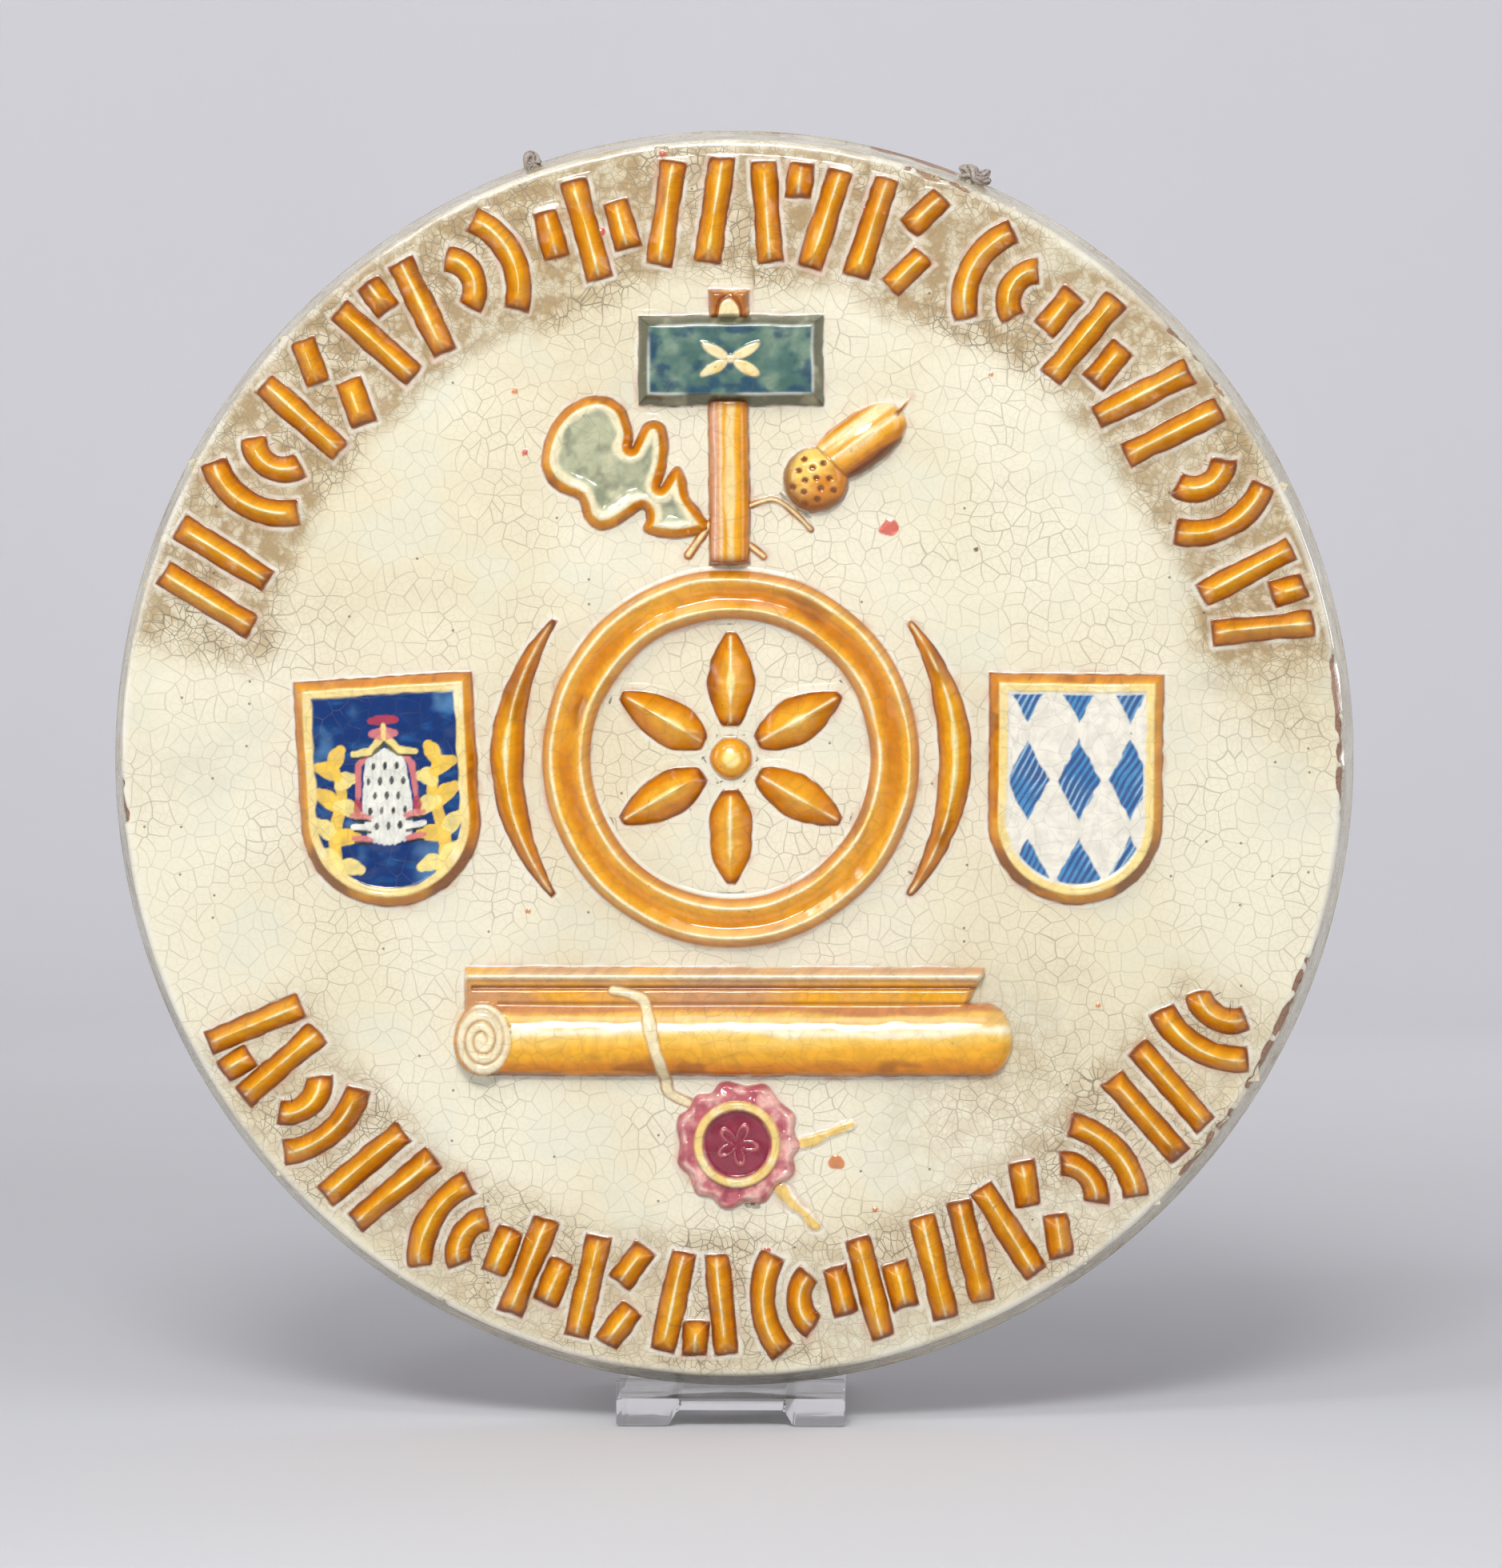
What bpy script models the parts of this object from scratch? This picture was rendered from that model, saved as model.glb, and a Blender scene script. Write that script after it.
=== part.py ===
"""Round glazed-ceramic wall plaque with raised ornament, standing in a clear cradle.

Metres, +Z up. The plaque's face looks along -Y. The origin is at the middle of the whole
object's footprint, on the surface that the cradle stands on.
"""

import math

import bmesh
import bpy
from mathutils import Matrix, Vector

MM = 0.001
GAP = 0.3 * MM

# Disc
FACE_RADIUS = 189.7 * MM
BACK_RADIUS = 195.7 * MM
OVAL = 0.006
DISC_DEPTH = 26.0 * MM
SLAB_DEPTH = 14.0 * MM
RECESS_RADIUS = 171.0 * MM
RECESS_SLOPE = 3.0 * MM
LIP_ROUND = 2.2 * MM
DISC_STEPS = 72

# Relief
SINK = 1.0 * MM
FOOT = 0.3 * MM
TALLEST_RELIEF = 9.0 * MM
ROW_RADIUS = 168.6 * MM
STROKE_WIDTH = 8.2 * MM
STROKE_HEIGHT = 5.0 * MM
WIDEST_CELL = 32.5 * MM
UPPER_ROW = (160.6, 16.8)
LOWER_ROW = (211.7, 330.4)

# Clear cradle
CRADLE_WIDTH = 70.4 * MM
CRADLE_LENGTH = 110.0 * MM
FOOT_WIDTH = 16.0 * MM
FOOT_FLARE = 2.8 * MM
FOOT_HEIGHT = 4.9 * MM
SHELF_TOP = 8.2 * MM
LIP_TOP = 14.3 * MM
LIP_THICKNESS = 3.0 * MM
LIP_GAP = 0.5 * MM
BACK_PLATE_TOP = 110.0 * MM
BACK_PLATE_THICKNESS = 4.0 * MM
BACK_PLATE_TOP_WIDTH = 44.0 * MM

# Cord
HOLE_RADIUS = 3.5 * MM
HOLE_DEPTH = 20.0 * MM
HOLE_RIGHT = math.radians(22.6)
HOLE_LEFT = math.radians(-18.6)
CORD_RADIUS = 1.5 * MM
CORD_SAG = 42.0 * MM
KNOT_FOOT = 195.0 * MM

# Places that follow from the sizes above
FRONT_EDGE = LIP_GAP + LIP_THICKNESS
FACE_Y = -(CRADLE_LENGTH - FRONT_EDGE - TALLEST_RELIEF) / 2
BACK_Y = FACE_Y + DISC_DEPTH
CENTRE_Z = SHELF_TOP + GAP + BACK_RADIUS * (1 + OVAL)
FACING = Matrix.Translation((0, FACE_Y, CENTRE_Z)) @ Matrix.Rotation(math.pi / 2, 4, "X")


def clear_scene():
    for thing in list(bpy.data.objects):
        bpy.data.objects.remove(thing, do_unlink=True)


def collection(name):
    group = bpy.data.collections.new(name)
    bpy.context.scene.collection.children.link(group)
    return group


def material(name, colour, roughness, metallic=0.0, transmission=0.0):
    made = bpy.data.materials.new(name)
    made.use_nodes = True
    shader = made.node_tree.nodes["Principled BSDF"]
    shader.inputs["Base Color"].default_value = (*colour, 1.0)
    shader.inputs["Roughness"].default_value = roughness
    shader.inputs["Metallic"].default_value = metallic
    shader.inputs["Transmission Weight"].default_value = transmission
    made.diffuse_color = (*colour, 1.0)
    return made


def add_object(name, data, group, look, place=None):
    made = bpy.data.objects.new(name, data)
    if place is not None:
        made.matrix_world = place
    if look is not None:
        data.materials.append(look)
    group.objects.link(made)
    return made


def baked(source):
    """The object's evaluated shape as a plain welded mesh object in its place."""
    bpy.context.view_layer.update()
    depsgraph = bpy.context.evaluated_depsgraph_get()
    mesh = bpy.data.meshes.new_from_object(source.evaluated_get(depsgraph))
    shape = bmesh.new()
    shape.from_mesh(mesh)
    bmesh.ops.remove_doubles(shape, verts=shape.verts, dist=0.01 * MM)
    bmesh.ops.recalc_face_normals(shape, faces=shape.faces)
    shape.to_mesh(mesh)
    shape.free()
    made = bpy.data.objects.new(source.name, mesh)
    made.matrix_world = source.matrix_world.copy()
    for group in source.users_collection:
        group.objects.link(made)
    name = source.name
    bpy.data.objects.remove(source, do_unlink=True)
    made.name = name
    return made


def make_tool(tool):
    tool.hide_render = True
    tool.display_type = "WIRE"
    return tool


def boolean(target, group, operation):
    """Join to the target, or cut from it, everything in the group."""
    step = target.modifiers.new(operation.lower(), "BOOLEAN")
    step.operation = operation
    step.operand_type = "COLLECTION"
    step.collection = group
    step.solver = "EXACT"
    step.material_mode = "TRANSFER"
    return step


def arc(centre, radius, start, end, count):
    """Points of an arc in degrees, both ends included."""
    angles = [math.radians(start + (end - start) * i / count) for i in range(count + 1)]
    return [(centre[0] + radius * math.cos(a), centre[1] + radius * math.sin(a)) for a in angles]


def smooth(points, per_span, closed=True):
    """A Catmull-Rom line through the points."""
    line = []
    count = len(points)
    spans = count if closed else count - 1
    for i in range(spans):
        if closed:
            near = [points[(i + k) % count] for k in (-1, 0, 1, 2)]
        else:
            near = [points[min(max(i + k, 0), count - 1)] for k in (-1, 0, 1, 2)]
        a, b, c, d = (Vector(p) for p in near)
        for step in range(per_span):
            t = step / per_span
            line.append(tuple(0.5 * (2 * b + (c - a) * t + (2 * a - 5 * b + 4 * c - d) * t * t
                                     + (3 * b - 3 * c + d - a) * t ** 3)))
    if not closed:
        line.append(tuple(points[-1]))
    return line


def poly_curve(name, dimensions, lines, closed):
    """A curve of straight spans; each line is a list of (x, y) or (x, y, radius) points."""
    data = bpy.data.curves.new(name, "CURVE")
    data.dimensions = dimensions
    data.render_resolution_u = 0
    for line in lines:
        spline = data.splines.new("POLY")
        spline.points.add(len(line) - 1)
        for point, place in zip(spline.points, line):
            point.co = (place[0], place[1], 0, 1)
            point.radius = place[2] if len(place) > 2 else 1.0
        spline.use_cyclic_u = closed
    return data


def slab(name, outline, height, chamfer, group, look):
    """A flat outline in the face's plane, raised by its height, with a sloped edge."""
    data = poly_curve(name, "2D", [outline], True)
    data.fill_mode = "BOTH"
    base = SINK + chamfer
    data.extrude = (height + base) / 2 - chamfer
    data.bevel_depth = chamfer
    data.bevel_resolution = 0
    data.offset = -chamfer
    place = FACING @ Matrix.Translation((0, 0, (height - base) / 2))
    return baked(add_object(name, data, group, look, place))


def ridges(name, lines, width, height, group, look):
    """Raised strokes of roof-shaped section, each with hipped ends, along the lines."""
    half = width / 2
    section = [(-half, -SINK), (half, -SINK), (half, FOOT), (0.0, height), (-half, FOOT)]
    profile = bpy.data.objects.new(name + "_section", poly_curve(name + "_section", "2D", [section], True))
    data = poly_curve(name, "3D", lines, False)
    data.twist_mode = "Z_UP"
    data.bevel_mode = "OBJECT"
    data.bevel_object = profile
    data.use_fill_caps = True
    made = baked(add_object(name, data, group, look, FACING))
    bpy.data.objects.remove(profile, do_unlink=True)
    return made


def hipped(points, width, end_radius=0.4):
    """The line's points with a short taper at each end."""
    first, second = Vector(points[0]), Vector(points[1])
    last, before = Vector(points[-1]), Vector(points[-2])
    taper = width * 0.4
    head = first + (second - first).normalized() * taper
    tail = last + (before - last).normalized() * taper
    inner = [tuple(p) for p in points[1:-1]]
    return ([(*first, end_radius), (*head, 1.0)] + [(*p, 1.0) for p in inner]
            + [(*tail, 1.0), (*last, end_radius)])


def turned(name, profile, steps, group, look, place):
    """A ring-shaped solid or disc from a profile of (radius, height), top outer side first."""
    mesh = bpy.data.meshes.new(name)
    shape = bmesh.new()
    points = [shape.verts.new((radius, 0, height)) for radius, height in profile]
    for a, b in zip(points, points[1:]):
        shape.edges.new((a, b))
    shape.to_mesh(mesh)
    shape.free()
    made = add_object(name, mesh, group, look, place)
    screw = made.modifiers.new("turn", "SCREW")
    screw.steps = steps
    screw.render_steps = steps
    screw.use_merge_vertices = True
    screw.merge_threshold = 0.01 * MM
    return baked(made)


def fill_flat(target):
    """Close the open circles of a turned shape with flat faces."""
    shape = bmesh.new()
    shape.from_mesh(target.data)
    bmesh.ops.holes_fill(shape, edges=[e for e in shape.edges if e.is_boundary])
    bmesh.ops.recalc_face_normals(shape, faces=shape.faces)
    shape.to_mesh(target.data)
    shape.free()


def ball(name, centre, sizes, angle, group, look, segments=20, rings=10):
    """An ellipsoid with its middle just under the face, turned by an angle within the face's plane."""
    mesh = bpy.data.meshes.new(name)
    shape = bmesh.new()
    bmesh.ops.create_uvsphere(shape, u_segments=segments, v_segments=rings, radius=1.0)
    bmesh.ops.rotate(shape, verts=shape.verts, cent=(0, 0, 0), matrix=Matrix.Rotation(math.pi / 2, 3, "Y"))
    bmesh.ops.scale(shape, verts=shape.verts, vec=sizes)
    shape.to_mesh(mesh)
    shape.free()
    place = FACING @ Matrix.Translation((*centre, -FOOT)) @ Matrix.Rotation(angle, 4, "Z")
    return add_object(name, mesh, group, look, place)


def block(name, low, high, group, look, place=None, front_inset=0.0):
    """A box between two corners; the inset narrows its top (+Z) face."""
    mesh = bpy.data.meshes.new(name)
    shape = bmesh.new()
    bmesh.ops.create_cube(shape, size=1.0)
    middle = (Vector(low) + Vector(high)) / 2
    size = Vector(high) - Vector(low)
    for vert in shape.verts:
        inset = front_inset if vert.co.z > 0 else 0.0
        vert.co = Vector((middle.x + vert.co.x * (size.x - 2 * inset),
                          middle.y + vert.co.y * (size.y - 2 * inset),
                          middle.z + vert.co.z * size.z))
    shape.to_mesh(mesh)
    shape.free()
    return add_object(name, mesh, group, look, place)


def disc(group, look):
    """The plain disc: a slab with a turned-back rim and a rounded front edge."""
    slope = (BACK_RADIUS - FACE_RADIUS) / DISC_DEPTH
    rounded = [(FACE_RADIUS - LIP_ROUND * (1 - math.sin(a)), -LIP_ROUND * (1 - math.cos(a)))
               for a in (math.radians(step) for step in (0, 30, 60, 90))]
    profile = rounded + [(BACK_RADIUS - slope * LIP_ROUND, -(DISC_DEPTH - LIP_ROUND)),
                         (BACK_RADIUS - LIP_ROUND, -DISC_DEPTH),
                         (RECESS_RADIUS, -DISC_DEPTH),
                         (RECESS_RADIUS - RECESS_SLOPE, -SLAB_DEPTH)]
    oval = Matrix.Diagonal((1 - OVAL, 1 + OVAL, 1, 1))
    made = turned("plaque", profile, DISC_STEPS, group, look, None)
    made.data.transform(FACING @ oval)
    fill_flat(made)
    return made


def cell_strokes(kind):
    """Strokes of one cell, in millimetres across (right) and up; they touch nothing and spell nothing."""
    if kind == "slanted pair":
        return [[(-11, -16), (-4, 16)], [(4, -16), (11, 16)]]
    if kind == "nested arcs":
        return [arc((-15, 0), 23, -42, 42, 5), arc((-15, 0), 9.5, -62, 62, 4)]
    if kind == "turned arcs":
        return [[(-u, v) for u, v in line] for line in cell_strokes("nested arcs")]
    if kind == "fan":
        return [[(-6, -16), (-12, 15)], [(6, -16), (12, 15)], [(0, 5), (0, 16)]]
    if kind == "turned fan":
        return [[(u, -v) for u, v in line] for line in cell_strokes("fan")]
    if kind == "bar and slants":
        return [[(-9, -16), (-9, 16)], [(2, 3), (9, 16)], [(2, -16), (9, -3)]]
    return [[(0, -16), (0, 16)], [(-11, -6), (-11, 9)], [(11, -9), (11, 6)]]


UPPER_CELLS = ("slanted pair", "turned arcs", "bar and slants", "fan", "nested arcs", "three bars", "slanted pair",
               "fan", "bar and slants", "turned arcs", "three bars", "slanted pair", "nested arcs", "fan")
LOWER_CELLS = ("turned fan", "nested arcs", "slanted pair", "turned arcs", "three bars", "bar and slants",
               "turned fan", "turned arcs", "three bars", "slanted pair", "bar and slants", "nested arcs",
               "slanted pair", "turned arcs")


def row_lines(span, cells, up):
    """All strokes of one row; up is 1 when their tops point outwards, -1 when they point inwards."""
    lines = []
    pitch = (span[1] - span[0]) / (len(cells) - 1)
    squeeze = abs(math.radians(pitch)) * ROW_RADIUS / WIDEST_CELL
    for i, kind in enumerate(cells):
        angle = math.radians(span[0] + pitch * i)
        outward = Vector((math.cos(angle), math.sin(angle)))
        across = Vector((outward.y, -outward.x)) * up
        for stroke in cell_strokes(kind):
            placed = [outward * (ROW_RADIUS + up * v * MM) + across * u * squeeze * MM for u, v in stroke]
            lines.append(hipped(placed, STROKE_WIDTH))
    return lines


def emblem(group, look):
    """A double-ridged ring around a six-petalled rosette, with a crescent on each side."""
    outer, inner, crest, sunk = 58.0 * MM, 43.0 * MM, 6.5 * MM, 4.6 * MM
    lip = (outer - inner) / 5
    profile = [(outer, -SINK), (outer, FOOT), (outer - lip, crest), (outer - 2 * lip, sunk),
               (inner + 2 * lip, sunk), (inner + lip, crest), (inner, FOOT), (inner, -SINK), (outer, -SINK)]
    turned("emblem_ring", profile[::-1], 48, group, look, FACING)
    petals = []
    for i in range(6):
        ray = Vector((math.cos(math.radians(30 + 60 * i)), math.sin(math.radians(30 + 60 * i))))
        reach = [(10.0, 0.25), (17.0, 0.75), (24.0, 1.0), (31.0, 0.8), (38.5, 0.25)]
        petals.append([(ray.x * r * MM, ray.y * r * MM, size) for r, size in reach])
    ridges("emblem_petals", petals, 15.0 * MM, 6.0 * MM, group, look)
    ball("emblem_boss", (0, 0), (6.5 * MM, 6.5 * MM, 4.5 * MM), 0, group, look)
    crescents = []
    for middle in (0, 180):
        points = arc((0, 0), 69.0 * MM, middle - 38, middle + 38, 12)
        sizes = [0.3 + 0.7 * math.sin(math.pi * i / 12) for i in range(13)]
        crescents.append([(*p, s) for p, s in zip(points, sizes)])
    ridges("emblem_crescents", crescents, 10.0 * MM, 6.0 * MM, group, look)


def hammer(group, iron, wood):
    block("hammer_head", (-28.6 * MM, 108.4 * MM, -SINK), (28.6 * MM, 136.2 * MM, 6.5 * MM), group, iron,
          FACING, 3.5 * MM)
    block("hammer_tip", (-6.9 * MM, 134.0 * MM, -SINK), (5.7 * MM, 144.1 * MM, 4.0 * MM), group, wood,
          FACING, 1.2 * MM)
    half = 6.4 * MM
    mesh = bpy.data.meshes.new("hammer_handle")
    shape = bmesh.new()
    bmesh.ops.create_cone(shape, cap_ends=True, segments=16, radius1=half, radius2=half, depth=52.0 * MM)
    bmesh.ops.rotate(shape, verts=shape.verts, cent=(0, 0, 0), matrix=Matrix.Rotation(math.pi / 2, 3, "X"))
    bmesh.ops.scale(shape, verts=shape.verts, vec=(1, 1, 0.8))
    shape.to_mesh(mesh)
    shape.free()
    add_object("hammer_handle", mesh, group, wood, FACING @ Matrix.Translation((-0.5 * MM, 85.1 * MM, -FOOT)))


def in_metres(points):
    return [tuple(value * MM for value in point) for point in points]


def oak(group, leaf_look, acorn_look):
    """An oak leaf on the left of the hammer's handle and an acorn on its right."""
    outline = [(-6.7, 71.7), (-9.1, 75.9), (-12.6, 80.8), (-14.0, 87.4), (-16.3, 90.1), (-18.7, 88.2),
               (-21.7, 83.5), (-20.0, 88.7), (-19.0, 95.6), (-20.2, 102.2), (-23.9, 104.2), (-27.3, 102.2),
               (-30.5, 95.6), (-30.0, 99.8), (-32.3, 107.1), (-36.7, 110.8), (-41.6, 111.8), (-49.0, 109.4),
               (-55.2, 103.0), (-58.4, 93.1), (-57.1, 86.5), (-52.7, 81.8), (-46.8, 79.3), (-45.3, 73.9),
               (-41.1, 70.4), (-36.2, 70.9), (-31.3, 73.9), (-27.1, 76.4), (-26.1, 73.4), (-27.3, 70.2),
               (-23.2, 68.2), (-15.8, 67.5), (-7.4, 69.5)]
    slab("oak_leaf", in_metres(outline), 4.5 * MM, 1.0 * MM, group, leaf_look)
    lean = math.radians(35)
    ball("acorn_nut", (39.4 * MM, 97.0 * MM), (16.2 * MM, 8.6 * MM, 7.0 * MM), lean, group, acorn_look)
    ball("acorn_cup", (26.4 * MM, 85.7 * MM), (9.0 * MM, 10.3 * MM, 7.6 * MM), lean, group, acorn_look)
    stalks = [[(5.0, 77.3), (14.0, 79.6), (19.5, 75.6), (24.6, 70.4)], [(5.6, 65.6), (10.1, 62.1)],
              [(-6.2, 72.0), (-13.1, 62.6)], [(50.4, 105.2), (55.7, 110.3)]]
    lines = [[(*p, 1.0) for p in in_metres(stalk)] for stalk in stalks]
    ridges("stalks", lines, 1.9 * MM, 1.4 * MM, group, acorn_look)


def shield(name, top_middle, width, tilt, group, look):
    """A shield with a flat top, straight sides and a round base."""
    height, half = 71.0 * MM, width / 2
    shoulder = -height + half * 0.96
    base = [(x, y * 0.96) for x, y in arc((0, 0), half, 180, 360, 14)]
    outline = [(half, 0), (-half, 0)] + [(x, y + shoulder) for x, y in base]
    turn = Matrix.Rotation(math.radians(tilt), 2)
    placed = [tuple(turn @ Vector(p) + Vector(top_middle)) for p in outline]
    return slab(name, placed[::-1], 5.0 * MM, 3.0 * MM, group, look)


def scroll(group, look):
    """A rolled sheet with its free edge above the roll."""
    roll_radius, roll_z = 11.2 * MM, -86.6 * MM
    mesh = bpy.data.meshes.new("scroll_roll")
    shape = bmesh.new()
    bmesh.ops.create_cone(shape, cap_ends=True, segments=24, radius1=roll_radius, radius2=roll_radius,
                          depth=154.0 * MM)
    bmesh.ops.rotate(shape, verts=shape.verts, cent=(0, 0, 0), matrix=Matrix.Rotation(math.pi / 2, 3, "Y"))
    bmesh.ops.scale(shape, verts=shape.verts, vec=(1, 1, (TALLEST_RELIEF + FOOT) / roll_radius))
    shape.to_mesh(mesh)
    shape.free()
    add_object("scroll_roll", mesh, group, look, FACING @ Matrix.Translation((1.5 * MM, roll_z, -FOOT)))
    ball("scroll_end_left", (-76.3 * MM, roll_z), (8.9 * MM, 11.5 * MM, 8.0 * MM), 0, group, look)
    ball("scroll_end_right", (78.0 * MM, roll_z), (8.9 * MM, 11.1 * MM, 8.8 * MM), 0, group, look)
    block("scroll_sheet", (-82.0 * MM, -80.0 * MM, -SINK), (74.5 * MM, -65.2 * MM, 4.0 * MM), group, look,
          FACING, 0.8 * MM)
    block("scroll_edge", (-82.2 * MM, -70.0 * MM, -SINK), (78.0 * MM, -64.2 * MM, 5.6 * MM), group, look,
          FACING, 1.4 * MM)


def seal(group, look):
    """A poured seal with a lobed edge and a raised ring."""
    centre, radius, lobes = (2.0 * MM, -118.7 * MM), 19.2 * MM, 10
    outline = []
    for i in range(60):
        angle = math.tau * i / 60
        reach = radius + 1.0 * MM * math.cos(lobes * angle)
        outline.append((centre[0] + reach * math.cos(angle), centre[1] + reach * math.sin(angle)))
    slab("seal_blob", outline, 3.4 * MM, 1.2 * MM, group, look)
    profile = [(13.3 * MM, 1.0 * MM), (13.3 * MM, 4.0 * MM), (12.0 * MM, 5.0 * MM), (10.5 * MM, 4.0 * MM),
               (10.5 * MM, 1.0 * MM), (13.3 * MM, 1.0 * MM)]
    turned("seal_ring", profile[::-1], 32, group, look, FACING @ Matrix.Translation((*centre, 0)))


def cradle(group, look):
    """Two runners, a shelf with a low lip in front, and a tapered plate behind the plaque."""
    half = CRADLE_WIDTH / 2
    front = FACE_Y - FRONT_EDGE
    shelf_back = BACK_Y + GAP + BACK_PLATE_THICKNESS
    pieces = collection("cradle_pieces")
    made = block("cradle", (-half, front, FOOT_HEIGHT), (half, shelf_back, SHELF_TOP), group, look)
    for side in (-1, 1):
        outer, inner = side * half, side * (half - FOOT_WIDTH)
        outline = [(outer, 0), (outer, FOOT_HEIGHT + SINK), (inner - side * FOOT_FLARE, FOOT_HEIGHT + SINK),
                   (inner - side * FOOT_FLARE, FOOT_HEIGHT), (inner, 0)]
        upright_slab("runner", outline[::side], front, front + CRADLE_LENGTH, pieces, look)
    block("lip", (-half, front, FOOT_HEIGHT), (half, front + LIP_THICKNESS, LIP_TOP), pieces, look)
    top = BACK_PLATE_TOP_WIDTH / 2
    shoulder = [(top * x, BACK_PLATE_TOP + 6.0 * MM * (z - 1)) for x, z in arc((0, 0), 1.0, 20, 160, 6)]
    outline = [(half, FOOT_HEIGHT), (half, 20.0 * MM)] + shoulder + [(-half, 20.0 * MM), (-half, FOOT_HEIGHT)]
    upright_slab("back_plate", outline, BACK_Y + GAP, shelf_back, pieces, look)
    for piece in pieces.objects:
        make_tool(piece)
    boolean(made, pieces, "UNION")
    return made


def upright_slab(name, outline, front, back, group, look):
    """An outline in the X-Z plane, extruded along Y."""
    data = poly_curve(name, "2D", [outline], True)
    data.fill_mode = "BOTH"
    data.extrude = (back - front) / 2
    place = Matrix.Translation((0, (front + back) / 2, 0)) @ Matrix.Rotation(math.pi / 2, 4, "X")
    return baked(add_object(name, data, group, look, place))


def rim_point(angle, radius):
    """A point on the cord's plane at an angle clockwise from straight up."""
    return Vector((radius * math.sin(angle), FACE_Y + HOLE_DEPTH, CENTRE_Z + radius * math.cos(angle)))


def cord_holes(group):
    for angle in (HOLE_RIGHT, HOLE_LEFT):
        mesh = bpy.data.meshes.new("cord_hole")
        shape = bmesh.new()
        bmesh.ops.create_cone(shape, cap_ends=True, segments=16, radius1=HOLE_RADIUS, radius2=HOLE_RADIUS,
                              depth=50.0 * MM)
        shape.to_mesh(mesh)
        shape.free()
        turn = Matrix.Rotation(angle, 4, "Y")
        place = Matrix.Translation(rim_point(angle, (RECESS_RADIUS + BACK_RADIUS) / 2)) @ turn
        make_tool(add_object("cord_hole", mesh, group, None, place))


def cord_route():
    """The twine's own points, from the right hole across the recess to the left one."""
    right = [rim_point(HOLE_RIGHT, r) for r in (KNOT_FOOT - GAP, 183.0 * MM, 171.0 * MM)]
    left = [rim_point(HOLE_LEFT, r) for r in (171.0 * MM, 183.0 * MM, KNOT_FOOT - GAP)]
    start, end = right[-1], left[0]
    slack = []
    for share in (0.14, 0.32, 0.5, 0.68, 0.86):
        place = start.lerp(end, share)
        place.z -= CORD_SAG * 4 * share * (1 - share)
        slack.append(place)
    return right + slack + left


def cord(group, look):
    route = smooth(cord_route(), 4, closed=False)
    data = bpy.data.curves.new("cord_tube", "CURVE")
    data.dimensions = "3D"
    data.render_resolution_u = 0
    data.bevel_depth = CORD_RADIUS
    data.bevel_resolution = 2
    data.use_fill_caps = True
    spline = data.splines.new("POLY")
    spline.points.add(len(route) - 1)
    for point, place in zip(spline.points, route):
        point.co = (*place, 1)
    add_object("cord_tube", data, group, look)
    place = Matrix.Translation(rim_point(HOLE_RIGHT, KNOT_FOOT + 3.2 * MM)) @ Matrix.Rotation(HOLE_RIGHT, 4, "Y")
    knot_mesh("cord_knot_right", (5.5 * MM, 3.0 * MM, 3.2 * MM), place, group, look)
    place = Matrix.Translation(rim_point(HOLE_LEFT, KNOT_FOOT + 1.3 * MM)) @ Matrix.Rotation(HOLE_LEFT, 4, "Y")
    loop = knot_mesh("cord_loop_left", (3.4 * MM, 2.0 * MM, 1.3 * MM), place, group, look)
    bends = collection("cord_bends")
    bend = bpy.data.curves.new("loop_bend", "CURVE")
    bend.dimensions = "3D"
    bend.render_resolution_u = 0
    bend.bevel_depth = 1.2 * MM
    bend.bevel_resolution = 2
    bend.use_fill_caps = True
    spline = bend.splines.new("POLY")
    points = [(2.0 * MM, 0)] + arc((0, 0.4 * MM), 2.0 * MM, 0, 180, 8) + [(-2.0 * MM, 0)]
    spline.points.add(len(points) - 1)
    for point, (x, z) in zip(spline.points, points):
        point.co = (x, 0, z + 0.2 * MM, 1)
    make_tool(baked(add_object("loop_bend", bend, bends, look, place)))
    boolean(loop, bends, "UNION")


def knot_mesh(name, sizes, place, group, look):
    mesh = bpy.data.meshes.new(name)
    shape = bmesh.new()
    bmesh.ops.create_uvsphere(shape, u_segments=14, v_segments=8, radius=1.0)
    bmesh.ops.scale(shape, verts=shape.verts, vec=sizes)
    shape.to_mesh(mesh)
    shape.free()
    return add_object(name, mesh, group, look, place)


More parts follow.
